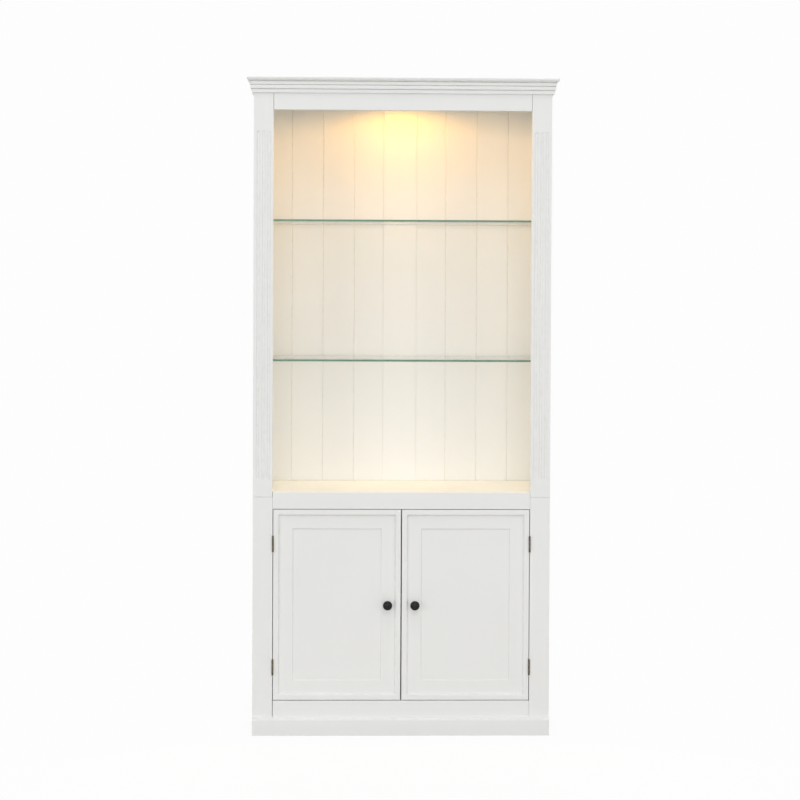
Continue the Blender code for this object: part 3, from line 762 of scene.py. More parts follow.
def loft(name, outlines, closed=False):
    """A solid through outlines with the same number of corners, ended flat or led round."""
    bm = bmesh.new()
    rings = [[bm.verts.new(point) for point in outline] for outline in outlines]
    pairs = list(zip(rings, rings[1:]))
    if closed:
        pairs.append((rings[-1], rings[0]))
    else:
        bm.faces.new(rings[0])
        bm.faces.new(rings[-1])
    for first, second in pairs:
        for here in range(len(first)):
            after = (here + 1) % len(first)
            bm.faces.new((first[here], first[after], second[after], second[here]))
    return to_mesh(name, bm)


def turned(name, profile, sides, along, place):
    """Turns (radius, distance) points about an axis. A radius of zero closes that end."""
    axis = Vector(along)
    across = axis.orthogonal().normalized()
    sideways = axis.cross(across)
    bm = bmesh.new()
    rings = []
    for radius, distance in profile:
        ring = []
        for side in range(sides if radius > 0 else 1):
            angle = 2 * math.pi * side / sides
            spoke = across * math.cos(angle) + sideways * math.sin(angle)
            ring.append(bm.verts.new(Vector(place) + axis * distance + spoke * radius))
        rings.append(ring)
    pairs = list(zip(rings, rings[1:]))
    if len(rings[0]) > 1 and len(rings[-1]) > 1:
        pairs.append((rings[-1], rings[0]))
    for first, second in pairs:
        for side in range(sides):
            after = (side + 1) % sides
            face = [first[side % len(first)], first[after % len(first)]]
            face += [second[after % len(second)], second[side % len(second)]]
            bm.faces.new(list(dict.fromkeys(face)))
    return to_mesh(name, bm)


def block(name, low, high, ease=0.0, steps=EASE_STEPS):
    """A box between two corners with its edges rounded over."""
    bm = bmesh.new()
    bmesh.ops.create_cube(bm, size=1.0)
    for vert in bm.verts:
        for axis in range(3):
            vert.co[axis] = high[axis] if vert.co[axis] > 0 else low[axis]
    if ease:
        eased(bm, bm.edges[:], ease, steps)
    return to_mesh(name, bm)


def ease_edges(mesh, width, angle=SHARP_ANGLE):
    """Rounds the sharp edges of a mesh."""
    bm = bmesh.new()
    bm.from_mesh(mesh)
    limit = math.radians(angle)
    inside = [edge for edge in bm.edges if len(edge.link_faces) == 2]
    eased(bm, [edge for edge in inside if edge.calc_face_angle() > limit], width, EASE_STEPS)
    return to_mesh(mesh.name, bm)


def joined(name, meshes):
    """Several meshes as one."""
    bm = bmesh.new()
    for mesh in meshes:
        bm.from_mesh(mesh)
    together = bpy.data.meshes.new(name)
    bm.to_mesh(together)
    bm.free()
    return together


def linked(name, data):
    """A new object in the scene, at the origin."""
    obj = bpy.data.objects.new(name, data)
    bpy.context.scene.collection.objects.link(obj)
    return obj


def middle_of(node):
    """The middle of a node's box, and the box's upper corner."""
    low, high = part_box(node)
    return (low + high) / 2, high


def as_made(obj, *helpers):
    """The mesh that an object's modifiers make. The object and its helpers are then removed."""
    bpy.context.view_layer.update()
    graph = bpy.context.evaluated_depsgraph_get()
    mesh = bpy.data.meshes.new_from_object(obj.evaluated_get(graph))
    for used in (obj, *helpers):
        bpy.data.objects.remove(used)
    return mesh


def worked(mesh, operation, tools):
    """Joins meshes to a mesh, or cuts them from it."""
    body = linked("body being worked", mesh)
    helpers = []
    for number, tool in enumerate(tools):
        helper = linked(f"tool {number}", tool)
        boolean = body.modifiers.new(f"work {number}", "BOOLEAN")
        boolean.operation = operation
        boolean.solver = "EXACT"
        boolean.object = helper
        helpers.append(helper)
    return as_made(body, *helpers)


def fit(name, mesh, finish, body="cabinet", stands_for=(), angle=SMOOTH_ANGLE, weighted=True):
    """Puts a finished piece in the cabinet, on the body that it moves with."""
    mesh.name = name
    obj = linked(name, mesh)
    kinds = [finish] if isinstance(finish, str) else finish
    mesh.materials.clear()
    for kind in kinds:
        mesh.materials.append(finishes[kind])
    mesh.shade_smooth()
    mesh.set_sharp_from_angle(angle=math.radians(angle))
    if weighted:
        shading = obj.modifiers.new("even faces", "WEIGHTED_NORMAL")
        shading.keep_sharp = True
    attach(obj, body)
    if stands_for:
        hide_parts(*stands_for)
    return obj


# Repeated work, made by trees of geometry nodes

def socket_name(tree, label):
    """The identifier of a tree's input, by which a modifier's value is set."""
    for item in tree.interface.items_tree:
        if item.item_type == "SOCKET" and item.in_out == "INPUT" and item.name == label:
            return item.identifier
    raise KeyError(label)


def grown(name, mesh, tree, helpers=(), **values):
    """The plain mesh that a tree makes from a mesh and its named values."""
    obj = linked(f"{name} blank", mesh)
    modifier = obj.modifiers.new(tree.name, "NODES")
    modifier.node_group = tree
    for label, value in values.items():
        modifier[socket_name(tree, label.replace("_", " "))] = value
    return as_made(obj, *helpers)


def end_tree(tree, geometry, material, output):
    """Ends a tree with real shapes in their material."""
    real = add(tree, "GeometryNodeRealizeInstances", {"Geometry": geometry})
    inputs = {"Geometry": real.outputs["Geometry"], "Material": material}
    finished = add(tree, "GeometryNodeSetMaterial", inputs)
    tree.links.new(finished.outputs["Geometry"], output)
    return tree


def make_row_cutter(name, cutter):
    """A tree that cuts a row of equal grooves. cutter makes one tool from the tree's inputs."""
    tree, given, result = new_tree(
        name,
        "GeometryNodeTree",
        [
            ("Board", "NodeSocketGeometry", None),
            ("Count", "NodeSocketInt", 3),
            ("First", "NodeSocketVector", (0.0, 0.0, 0.0)),
            ("Pitch", "NodeSocketVector", (0.0, 0.0, 0.0)),
            ("Width", "NodeSocketFloat", 0.01),
            ("Depth", "NodeSocketFloat", 0.003),
            ("Length", "NodeSocketFloat", 1.0),
            ("Finish", "NodeSocketMaterial", None),
        ],
        [("Board", "NodeSocketGeometry")],
    )
    values = given.outputs
    tool = cutter(tree, values)
    inputs = {
        "Count": values["Count"],
        "Start Location": values["First"],
        "Offset": values["Pitch"],
    }
    row = add(tree, "GeometryNodeMeshLine", inputs, mode="OFFSET")
    inputs = {"Points": row.outputs["Mesh"], "Instance": tool}
    places = add(tree, "GeometryNodeInstanceOnPoints", inputs)
    inputs = {"Geometry": places.outputs["Instances"]}
    tools = add(tree, "GeometryNodeRealizeInstances", inputs)
    inputs = {"Mesh 1": values["Board"], "Mesh 2": tools.outputs["Geometry"]}
    cut = add(tree, "GeometryNodeMeshBoolean", inputs, operation="DIFFERENCE", solver="EXACT")
    return end_tree(tree, cut.outputs["Mesh"], values["Finish"], result.inputs["Board"])


def vee_tool(tree, values):
    """A square bar on its corner, squeezed to the groove's width and depth."""
    size = 1 / math.sqrt(2)
    cube = add(tree, "GeometryNodeMeshCube", {"Size": (size, size, 1.0)})
    turn = {"Geometry": cube.outputs["Mesh"], "Rotation": (0.0, 0.0, math.pi / 4)}
    turned_bar = add(tree, "GeometryNodeTransform", turn)
    twice = maths(tree, "MULTIPLY", values["Depth"], 2.0)
    inputs = {"X": values["Width"], "Y": twice, "Z": values["Length"]}
    scale = add(tree, "ShaderNodeCombineXYZ", inputs).outputs["Vector"]
    inputs = {"Geometry": turned_bar.outputs["Geometry"], "Scale": scale}
    return add(tree, "GeometryNodeTransform", inputs).outputs["Geometry"]


def flute_tool(tree, values):
    """A rod with round ends, whose side leaves a flute of the given width and depth."""
    half = maths(tree, "DIVIDE", values["Width"], 2.0)
    squares = [maths(tree, "MULTIPLY", part, part) for part in (half, values["Depth"])]
    total = maths(tree, "ADD", *squares)
    radius = maths(tree, "DIVIDE", total, maths(tree, "MULTIPLY", values["Depth"], 2.0))
    inputs = {"Segments": FLUTE_SIDES, "Rings": FLUTE_RINGS, "Radius": radius}
    ball = add(tree, "GeometryNodeMeshUVSphere", inputs)
    position = add(tree, "GeometryNodeInputPosition").outputs["Position"]
    rise = add(tree, "ShaderNodeSeparateXYZ", {"Vector": position}).outputs["Z"]
    straight = maths(tree, "SUBTRACT", values["Length"], values["Width"])
    stretch = maths(tree, "DIVIDE", straight, 2.0)
    upper = maths(tree, "GREATER_THAN", rise, FLUTE_MIDDLE)
    lower = maths(tree, "LESS_THAN", rise, -FLUTE_MIDDLE)
    lift = maths(tree, "MULTIPLY", maths(tree, "SUBTRACT", upper, lower), stretch)
    sink = maths(tree, "SUBTRACT", values["Depth"], radius)
    offset = add(tree, "ShaderNodeCombineXYZ", {"Y": sink, "Z": lift}).outputs["Vector"]
    inputs = {"Geometry": ball.outputs["Mesh"], "Offset": offset}
    return add(tree, "GeometryNodeSetPosition", inputs).outputs["Geometry"]


def make_fixings():
    """A tree that sets a fixing on each point, facing as the point says, turned at random."""
    tree, given, result = new_tree(
        "fixings",
        "GeometryNodeTree",
        [
            ("Places", "NodeSocketGeometry", None),
            ("Fixing", "NodeSocketObject", None),
            ("Seed", "NodeSocketInt", 3),
            ("Finish", "NodeSocketMaterial", None),
        ],
        [("Fixings", "NodeSocketGeometry")],
    )
    values = given.outputs
    inputs = {"Name": "facing"}
    named = add(tree, "GeometryNodeInputNamedAttribute", inputs, data_type="FLOAT_VECTOR")
    inputs = {"Vector": named.outputs["Attribute"]}
    aim = add(tree, "FunctionNodeAlignRotationToVector", inputs, axis="Z")
    inputs = {RANDOM_LEAST: 0.0, RANDOM_GREATEST: math.pi, "Seed": values["Seed"]}
    chance = add(tree, "FunctionNodeRandomValue", inputs, data_type="FLOAT")
    inputs = {"Axis": (0.0, 0.0, 1.0), "Angle": chance.outputs[RANDOM_RESULT]}
    spin = add(tree, "FunctionNodeAxisAngleToRotation", inputs)
    inputs = {"Rotation": aim.outputs["Rotation"], "Rotate By": spin.outputs["Rotation"]}
    turn = add(tree, "FunctionNodeRotateRotation", inputs, rotation_space="LOCAL")
    shape = add(tree, "GeometryNodeObjectInfo", {"Object": values["Fixing"]})
    inputs = {
        "Points": values["Places"],
        "Instance": shape.outputs["Geometry"],
        "Rotation": turn.outputs["Rotation"],
    }
    placed = add(tree, "GeometryNodeInstanceOnPoints", inputs).outputs["Instances"]
    return end_tree(tree, placed, values["Finish"], result.inputs["Fixings"])


trees = {
    "grooves": make_row_cutter("row of grooves", vee_tool),
    "flutes": make_row_cutter("row of flutes", flute_tool),
    "fixings": make_fixings(),
}


def screw_head():
    """A countersunk head with a cross recess, its face in the XY plane and looking up."""
    profile = [
        (0, -SCREW_DEPTH),
        (SCREW_BOTTOM_RADIUS, -SCREW_DEPTH),
        (SCREW_RADIUS, -SCREW_SINK * 4),
        (SCREW_RADIUS - SCREW_SINK, 0),
        (0, 0),
    ]
    head = turned("screw head", profile, SCREW_SIDES, (0, 0, 1), (0, 0, 0))
    half = SCREW_CROSS_WIDTH / 2
    sink = SCREW_DEPTH / 2
    blades = [
        block("blade", (-SCREW_CROSS, -half, -sink), (SCREW_CROSS, half, SCREW_DEPTH)),
        block("blade", (-half, -SCREW_CROSS, -sink), (half, SCREW_CROSS, SCREW_DEPTH)),
    ]
    return worked(head, "DIFFERENCE", blades)


def fixings(name, places, finish, body, seed):
    """One mesh with a screw at each (place, direction that its head faces)."""
    points = bpy.data.meshes.new(name)
    points.from_pydata([place for place, outward in places], [], [])
    facings = points.attributes.new("facing", "FLOAT_VECTOR", "POINT")
    for number, (place, outward) in enumerate(places):
        facings.data[number].vector = outward
    head = linked("screw head", screw_head())
    values = {"Fixing": head, "Seed": seed, "Finish": finishes[finish]}
    mesh = grown(name, points, trees["fixings"], (head,), **values)
    return fit(name, mesh, finish, body, weighted=False)


# Boards that keep the shape of their solids

def paint_boards():
    """Gives the plain boards and the panels their paint, its strokes along each board."""
    ways = {
        "upright": (
            "base_side_left",
            "base_side_right",
            "base_back_panel",
            "left_door_panel",
            "right_door_panel",
            "upper_side_left",
            "upper_side_right",
            "upper_back_strip",
        ),
        "deep": ("base_bottom_board", "base_top_board", "cupboard_shelf", "upper_top_board"),
    }
    for finish, names in ways.items():
        for name in names:
            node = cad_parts[name]
            node.material_slots[0].material = finishes[finish]


# Upper unit

def build_back():
    """Two sheets with rounded vee grooves, as between planks."""
    for side, sign in SIDES.items():
        node = f"upper_back_panel_{side}"
        low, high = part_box(node)
        sheet = block(node, low, high)
        middle = (low.z + high.z) / 2
        values = {
            "Count": GROOVES_EACH_SIDE,
            "First": (sign * FIRST_GROOVE, low.y, middle),
            "Pitch": (sign * PLANK_PITCH, 0.0, 0.0),
            "Width": GROOVE_WIDTH,
            "Depth": GROOVE_DEPTH,
            "Length": 2 * (high.z - low.z),
            "Finish": finishes["upright"],
        }
        mesh = grown(node, sheet, trees["grooves"], **values)
        mesh = ease_edges(mesh, GROOVE_EASE)
        fit(f"planked_back_{side}", mesh, "upright", stands_for=[node])


def build_pilasters():
    """Upright boards with round-ended flutes, their inner edges a little short of the rail."""
    for side, sign in SIDES.items():
        node = f"pilaster_{side}"
        low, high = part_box(node)
        middle = (low.x + high.x) / 2
        inner = low if sign > 0 else high
        inner.x += sign * PILASTER_PLAY[side]
        blank = block(node, low, high, JOINT_EASE)
        rail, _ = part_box("header_rail")
        bottom = low.z + FLUTE_BOTTOM_MARGIN - GAP
        top = rail.z - FLUTE_TOP_MARGIN
        first = middle - (FLUTE_COUNT - 1) / 2 * FLUTE_PITCH
        values = {
            "Count": FLUTE_COUNT,
            "First": (first, low.y, (bottom + top) / 2),
            "Pitch": (FLUTE_PITCH, 0.0, 0.0),
            "Width": FLUTE_WIDTH,
            "Depth": FLUTE_DEPTH,
            "Length": top - bottom,
            "Finish": finishes["upright"],
        }
        mesh = grown(node, blank, trees["flutes"], **values)
        fit(f"fluted_pilaster_{side}", mesh, "upright", stands_for=[node], angle=FLUTE_SMOOTH_ANGLE)


def cornice_section(foot):
    """(reach, height) points round the cornice, from its foot against the cabinet."""
    bead = foot + CORNICE_BAND
    fascia = bead + CORNICE_BAND
    lip = fascia + CORNICE_BAND
    bead_reach = CORNICE_FOOT + CORNICE_STEP
    fascia_reach = bead_reach + CORNICE_STEP
    centre = (bead_reach, bead + CORNICE_BAND / 2)
    inner = fascia_reach + CORNICE_LEAN
    top = foot + CORNICE_HEIGHT
    edge = top - CORNICE_LIP_EDGE
    return [
        (GAP, foot),
        (CORNICE_FOOT, foot),
        (CORNICE_FOOT + CORNICE_LEAN, bead - CORNICE_QUIRK),
        (CORNICE_FOOT - CORNICE_QUIRK_DEPTH, bead - CORNICE_QUIRK),
        (CORNICE_FOOT - CORNICE_QUIRK_DEPTH, bead),
        *arc(centre, CORNICE_BEAD, CORNICE_BAND / 2, -90, 90, CORNICE_STEPS),
        (bead_reach - CORNICE_QUIRK_DEPTH, fascia),
        (bead_reach - CORNICE_QUIRK_DEPTH, fascia + CORNICE_QUIRK),
        (fascia_reach, fascia + CORNICE_QUIRK),
        (fascia_reach, lip - CORNICE_QUIRK),
        (bead_reach, lip - CORNICE_QUIRK),
        (bead_reach, lip),
        *arc((inner, edge), CORNICE_REACH - inner, edge - lip, -90, 0, CORNICE_STEPS),
        *arc((CORNICE_REACH - GAP, top - GAP), GAP, GAP, 0, 90, EASE_STEPS),
        (GAP, top),
    ]


def build_cornice():
    """Three lengths of moulding that meet in mitres at the two front corners."""
    _, side_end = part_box("upper_side_right")
    foot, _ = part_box("cornice_front")
    half = side_end.x
    face = foot.y + CORNICE_REACH
    section = cornice_section(foot.z)
    back = GAP / math.sqrt(2)
    ends = []
    for sign in SIDES.values():
        ends.append([(sign * (half + reach - back), face - reach, z) for reach, z in section])
    fit("cornice_front_length", loft("cornice", ends), "across", stands_for=["cornice_front"])
    for side, sign in SIDES.items():
        mitre = [(sign * (half + reach), face - reach + back, z) for reach, z in section]
        square = [(x, side_end.y, z) for x, y, z in mitre]
        mesh = loft("cornice return", [mitre, square])
        fit(f"cornice_return_{side}", mesh, "deep", stands_for=[f"cornice_{side}"])


def build_glass_shelves():
    """Each shelf has clear faces, and green edges with narrow arrises."""
    kinds = ("glass", "glass_edge")
    for level in LEVELS:
        node = f"{level}_glass_shelf"
        mesh = block(node, *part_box(node), FRAME_EASE, GLASS_EASE_STEPS)
        obj = fit(f"{level}_shelf_of_glass", mesh, kinds, stands_for=[node])
        for face in obj.data.polygons:
            face.material_index = 0 if abs(face.normal.z) > FLAT_NORMAL else 1


def rounded(distance, radius, ease, steps=ROUND_STEPS):
    """(radius, distance) points that round the outer corner at a distance along a turned piece."""
    corner = arc((distance - ease, radius - ease), ease, ease, 90, 0, steps)
    return [(y, x) for x, y in corner]


def build_pins():
    """Turned steel pins, with a collar against the side and a rounded peg."""
    ease = PIN_COLLAR / 4
    reach = GAP + PIN_COLLAR
    end = reach + PIN_PEG_LENGTH
    profile = [
        (0, -PIN_SHANK_LENGTH),
        (PIN_SHANK_RADIUS - ease, -PIN_SHANK_LENGTH),
        (PIN_SHANK_RADIUS, ease - PIN_SHANK_LENGTH),
        (PIN_SHANK_RADIUS, GAP),
        (PIN_COLLAR_RADIUS - ease, GAP),
        (PIN_COLLAR_RADIUS, GAP + ease),
        *rounded(reach, PIN_COLLAR_RADIUS, ease, EASE_STEPS),
        (PIN_PEG_RADIUS, reach),
        *rounded(end, PIN_PEG_RADIUS, PIN_PEG_RADIUS / 3),
        (0, end),
    ]
    inner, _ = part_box("upper_side_right")
    for shelf in ("cupboard_shelf", "upper_glass_shelf", "lower_glass_shelf"):
        for side, sign in SIDES.items():
            for where in ("front", "back"):
                node = f"{shelf}_pin_{side}_{where}"
                middle, _ = middle_of(node)
                place = (sign * inner.x, middle.y, middle.z)
                mesh = turned(node, profile, PIN_SIDES, (-sign, 0, 0), place)
                fit(f"turned_{node}", mesh, "steel", stands_for=[node], weighted=False)


def build_lamp():
    """The housing's flange is rolled, and the lens has fine rings on its face."""
    low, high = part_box("lamp_housing")
    place = ((low.x + high.x) / 2, (low.y + high.y) / 2, low.z)
    inner = LAMP_RADIUS - LAMP_WALL
    outer = LAMP_RADIUS + LAMP_FLANGE
    roof = LAMP_HEIGHT - LAMP_WALL
    roll = LAMP_FLANGE_HEIGHT / 2
    ease = LAMP_LIP / 2
    lip = LAMP_RADIUS - LAMP_LIP_WIDTH
    shoulder = (LAMP_RADIUS - ease, LAMP_HEIGHT - ease)
    profile = [
        (CORD_HOLE_RADIUS, roof),
        (CORD_HOLE_RADIUS, LAMP_HEIGHT),
        *arc(shoulder, ease, ease, 90, 0, ROUND_STEPS),
        (LAMP_RADIUS, LAMP_FLANGE_HEIGHT),
        *arc((outer - roll, roll), roll, roll, 75, -90, LAMP_FLANGE_STEPS),
        *arc((lip + ease, ease), ease, ease, 270, 180, ROUND_STEPS),
        (lip, LAMP_LIP),
        (inner, LAMP_LIP),
        (inner, roof),
    ]
    mesh = turned("lamp housing", profile, LAMP_SIDES, (0, 0, 1), place)
    fit("spotlight_housing", mesh, "lamp", stands_for=["lamp_housing"], weighted=False)
    low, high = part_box("lamp_lens")
    radius = (high.x - low.x) / 2
    half_ring = radius / LENS_RINGS / 2
    face = []
    for number in range(LENS_RINGS):
        ring = radius * (number + 0.5) / LENS_RINGS
        face.append((ring, 0.0))
        face.append((ring + half_ring, LENS_RING_DEPTH))
    face = [point for point in face if point[0] < radius - GAP]
    profile = [(0, 0), *face, (radius - GAP, 0), (radius, GAP), (radius, LENS), (0, LENS)]
    mesh = turned("lamp lens", profile, LAMP_SIDES, (0, 0, 1), (place[0], place[1], low.z))
    fit("spotlight_lens", mesh, "lens", stands_for=["lamp_lens"], weighted=False)


# Lower unit

def along_x(name, outline, xs):
    """A board with the same (y, z) outline from one x to another."""
    return loft(name, [[(x, y, z) for y, z in outline] for x in xs])


def hinge_places(side):
    """The (x, height) of the middle of each of a door's two hinge pins."""
    middles = [middle_of(f"{side}_hinge_{end}_pin")[0] for end in LEVELS]
    return [(middle.x, middle.z) for middle in middles]


def hinge_seats(side, leaf_sign, front):
    """Blocks that clear the wood for the leaves on one side of a door's two pins."""
    seats = []
    half = HINGE_HEIGHT / 2 + GAP
    for axis_x, level in hinge_places(side):
        near = axis_x - leaf_sign * KNUCKLE_RADIUS
        far = axis_x + leaf_sign * (LEAF_SPACE + LEAF + GAP)
        low = (min(near, far), front - KNUCKLE_RADIUS, level - half)
        high = (max(near, far), front + LEAF_DEPTH + GAP, level + half)
        seats.append(block("hinge seat", low, high))
    return seats


def build_face_frame():
    """Header, bottom rail and stiles. Their eased edges draw a fine line along each joint.
    The bottom rail's left joint has opened, and paint fills the joint on the skirting."""
    mesh = block("header rail", *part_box("header_rail"), JOINT_EASE)
    fit("eased_header_rail", mesh, "across", stands_for=["header_rail"])
    low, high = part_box("base_bottom_rail")
    low.z -= FOOT_SINK
    play = BOTTOM_RAIL_PLAY
    opened_low = (low.x - play, low.y - play, low.z - FOOT_SINK)
    opened_high = (low.x + play, low.y + BOTTOM_RAIL_PLAY_DEPTH, high.z + FOOT_SINK)
    opened = [block("opened joint", opened_low, opened_high)]
    mesh = worked(block("bottom rail", low, high, JOINT_EASE), "DIFFERENCE", opened)
    fit("eased_base_bottom_rail", mesh, "across", stands_for=["base_bottom_rail"])
    for side, sign in SIDES.items():
        node = f"base_stile_{side}"
        low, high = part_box(node)
        low.z -= FOOT_SINK
        seats = hinge_seats(side, sign, low.y)
        mesh = worked(block(node, low, high, JOINT_EASE), "DIFFERENCE", seats)
        fit(f"eased_{node}", mesh, "upright", stands_for=[node])


def build_rail_and_skirting():
    """The middle rail with its rounded nose, and the skirting with its rounded top."""
    pieces = (
        ("base_mid_rail", "rounded_middle_rail", RAIL_NOSE),
        ("skirting_front", "rounded_skirting", SKIRTING_ROUND),
    )
    ease = FRAME_EASE
    for node, name, nose in pieces:
        low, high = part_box(node)
        outline = [
            (high.y, low.z),
            (high.y, high.z),
            *arc((low.y + nose, high.z - nose), nose, nose, 90, 180, NOSE_STEPS),
            *arc((low.y + ease, low.z + ease), ease, ease, 180, 270, EASE_STEPS),
        ]
        mesh = ease_edges(along_x(node, outline, (low.x, high.x)), ease, NOSE_ANGLE)
        fit(name, mesh, "across", stands_for=[node])


def door_section(front):
    """(inset, y) points round the section of a door's frame, from its outer back edge."""
    back = front + FACE_FRAME
    corner = arc((RIM_ROUND, front + RIM_ROUND), RIM_ROUND, RIM_ROUND, 180, 270, DOOR_STEPS)
    fall = front + RIM_OVOLO_DROP
    edge = arc((RIM_WIDTH, fall), RIM_OVOLO, RIM_OVOLO_DROP, 270, 360, DOOR_STEPS)
    reach = RIM_WIDTH + RIM_OVOLO + RIM_COVE
    cove = arc((reach, fall), RIM_COVE, RIM_STEP - RIM_OVOLO_DROP, 180, 90, DOOR_STEPS)
    panel_front = front + RIM_STEP + PANEL_STEP
    foot = (DOOR_FRAME_WIDTH - PANEL_OVOLO, panel_front - GAP)
    ovolo = arc(foot, PANEL_OVOLO, PANEL_STEP - GAP, 270, 360, DOOR_STEPS)
    panel_rear = panel_front + PANEL
    slot = DOOR_FRAME_WIDTH - PANEL_TONGUE - GAP
    ease = FRAME_EASE
    return [
        *arc((ease, back - ease), ease, ease, 90, 180, EASE_STEPS),
        *corner,
        *edge,
        *cove[1:],
        *ovolo,
        (slot, panel_front - GAP),
        (slot, panel_rear + GAP),
        (DOOR_FRAME_WIDTH, panel_rear + GAP),
        *arc((DOOR_FRAME_WIDTH - ease, back - ease), ease, ease, 0, 90, EASE_STEPS),
    ]


def build_door(side, sign):
    """A door's moulded frame, its knob, and the strike that meets the catch."""
    build_door_frame(side, sign)
    build_knob(side)
    build_strike(side)


def build_door_frame(side, sign):
    """Four moulded lengths with mitred corners, cut for the hinges and the strike."""
    node = f"{side}_door_frame"
    low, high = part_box(node)
    rings = []
    for inset, y in door_section(low.y):
        left, right = low.x + inset, high.x - inset
        bottom, top = low.z + inset, high.z - inset
        corners = ((left, bottom), (right, bottom), (right, top), (left, top))
        rings.append([(x, y, z) for x, z in corners])
    cuts = hinge_seats(side, -sign, low.y)
    strike, _ = middle_of(f"{side}_door_strike")
    radius = STRIKE_RADIUS + GAP
    floor = STRIKE + GAP
    recess = [(0, -KNUCKLE_RADIUS), (radius, -KNUCKLE_RADIUS), (radius, floor), (0, floor)]
    place = (strike.x, high.y, strike.z)
    cuts.append(turned("recess", recess, LAMP_SIDES, (0, -1, 0), place))
    mesh = worked(loft(node, rings, closed=True), "DIFFERENCE", cuts)
    fit(f"{side}_door_moulded_frame", mesh, "upright", f"{side}_door", stands_for=[node])


def build_knob(side):
    """A turned knob on the flat band of a door."""
    node = f"{side}_door_knob"
    middle, high = middle_of(node)
    foot = (middle.x, high.y, middle.z)
    mesh = turned("knob", knob_profile(), KNOB_SIDES, (0, -1, 0), foot)
    name = f"{side}_door_turned_knob"
    fit(name, mesh, "black", f"{side}_door", stands_for=[node], weighted=False)


def build_strike(side):
    """A steel disc in the door's back, held by one screw."""
    body = f"{side}_door"
    node = f"{body}_strike"
    middle, high = middle_of(node)
    ease = STRIKE / 4
    profile = [
        (0, STRIKE),
        (STRIKE_RADIUS, STRIKE),
        (STRIKE_RADIUS, ease),
        (STRIKE_RADIUS - ease, 0),
        (SCREW_RADIUS + GAP, 0),
        (SCREW_BOTTOM_RADIUS + GAP, STRIKE - GAP),
        (0, STRIKE - GAP),
    ]
    place = (middle.x, high.y, middle.z)
    mesh = turned("strike", profile, CATCH_SIDES, (0, -1, 0), place)
    fit(f"{node}_disc", mesh, "steel", body, stands_for=[node], weighted=False)
    place = (middle.x, high.y - SCREW_SINK, middle.z)
    fixings(f"{node}_screw", [(place, (0, 1, 0))], "steel", body, STRIKE_SCREW_SEED)


def knob_profile():
    """(radius, distance) points: a rounded foot, a waisted neck, a flared rim and a dome."""
    rim = KNOB_HEIGHT - KNOB_DOME
    flare_place = (KNOB_RADIUS, rim - KNOB_RIM - KNOB_FLARE)
    flare_reach = KNOB_RADIUS - KNOB_NECK_RADIUS
    ease = KNOB_FOOT_ROUND
    edge = KNOB_EDGE
    edge_place = (KNOB_RADIUS - edge, rim - edge - KNOB_EDGE_RISE)
    return [
        (0, 0),
        (KNOB_FOOT_RADIUS, 0),
        *arc((KNOB_FOOT_RADIUS - ease, KNOB_FOOT - ease), ease, ease, 0, 90, ROUND_STEPS),
        *arc((KNOB_NECK_RADIUS + ease, KNOB_FOOT + ease), ease, ease, 270, 180, ROUND_STEPS),
        *arc(flare_place, flare_reach, KNOB_FLARE, 180, 96, KNOB_FLARE_STEPS),
        *arc(edge_place, edge, edge, -70, 0, KNOB_EDGE_STEPS),
        *arc((0, rim), KNOB_RADIUS, KNOB_DOME, 0, 90, KNOB_DOME_STEPS)[:-1],
        (0, KNOB_HEIGHT),
    ]


def knuckle(name, leaf_sign, centre, span, root):
    """A hinge knuckle and the neck that joins it to its leaf, as one keyhole-shaped prism."""
    near = LEAF_SPACE + NECK_INSET
    far = LEAF_SPACE + LEAF - NECK_INSET
    start = math.degrees(math.acos(near / KNUCKLE_RADIUS))
    end = math.degrees(math.acos(far / KNUCKLE_RADIUS)) + 360
    bottom, top = span
    ease = KNUCKLE_EASE
    levels = ((bottom, ease), (bottom + ease, 0), (top - ease, 0), (top, ease))
    rings = []
    for z, inset in levels:
        radius = KNUCKLE_RADIUS - inset
        outline = arc((0, 0), radius, radius, start, end, KNUCKLE_SIDES)
        outline += [(far, root - centre[1]), (near, root - centre[1])]
        rings.append([(centre[0] + leaf_sign * x, centre[1] + y, z) for x, y in outline])
    return loft(name, rings)


def hinge_leaf(name, leaf_sign, centre, level, front, spans):
    """A leaf with its knuckles, bored for the pin and sunk for its screws, and their places."""
    bottom = level - HINGE_HEIGHT / 2
    inner = centre[0] + leaf_sign * LEAF_SPACE
    outer = centre[0] + leaf_sign * (LEAF_SPACE + LEAF)
    low = (min(inner, outer), front, bottom)
    high = (max(inner, outer), front + LEAF_DEPTH, bottom + HINGE_HEIGHT)
    leaf = block(name, low, high, LEAF_EASE, LEAF_EASE_STEPS)
    root = front + NECK_ROOT
    knuckles = [knuckle(name, leaf_sign, centre, span, root) for span in spans]
    leaf = worked(leaf, "UNION", knuckles)
    reach = HINGE_HEIGHT
    bore = [(0, -reach), (KNUCKLE_BORE, -reach), (KNUCKLE_BORE, reach), (0, reach)]
    play = GAP / 3
    floor = LEAF - GAP / 2
    sink = [
        (0, -LEAF * 2),
        (SCREW_RADIUS + play + LEAF, -LEAF),
        (SCREW_BOTTOM_RADIUS + play, floor),
        (0, floor),
    ]
    cuts = [turned("bore", bore, KNUCKLE_SIDES, (0, 0, 1), (*centre, level))]
    screws = []
    for rise, depth in HINGE_SCREWS:
        y = front + depth
        z = level + rise
        cuts.append(turned("sink", sink, SCREW_SIDES, (leaf_sign, 0, 0), (inner, y, z)))
        screws.append(((inner + leaf_sign * SCREW_SINK, y, z), (-leaf_sign, 0, 0)))
    return worked(leaf, "DIFFERENCE", cuts), screws


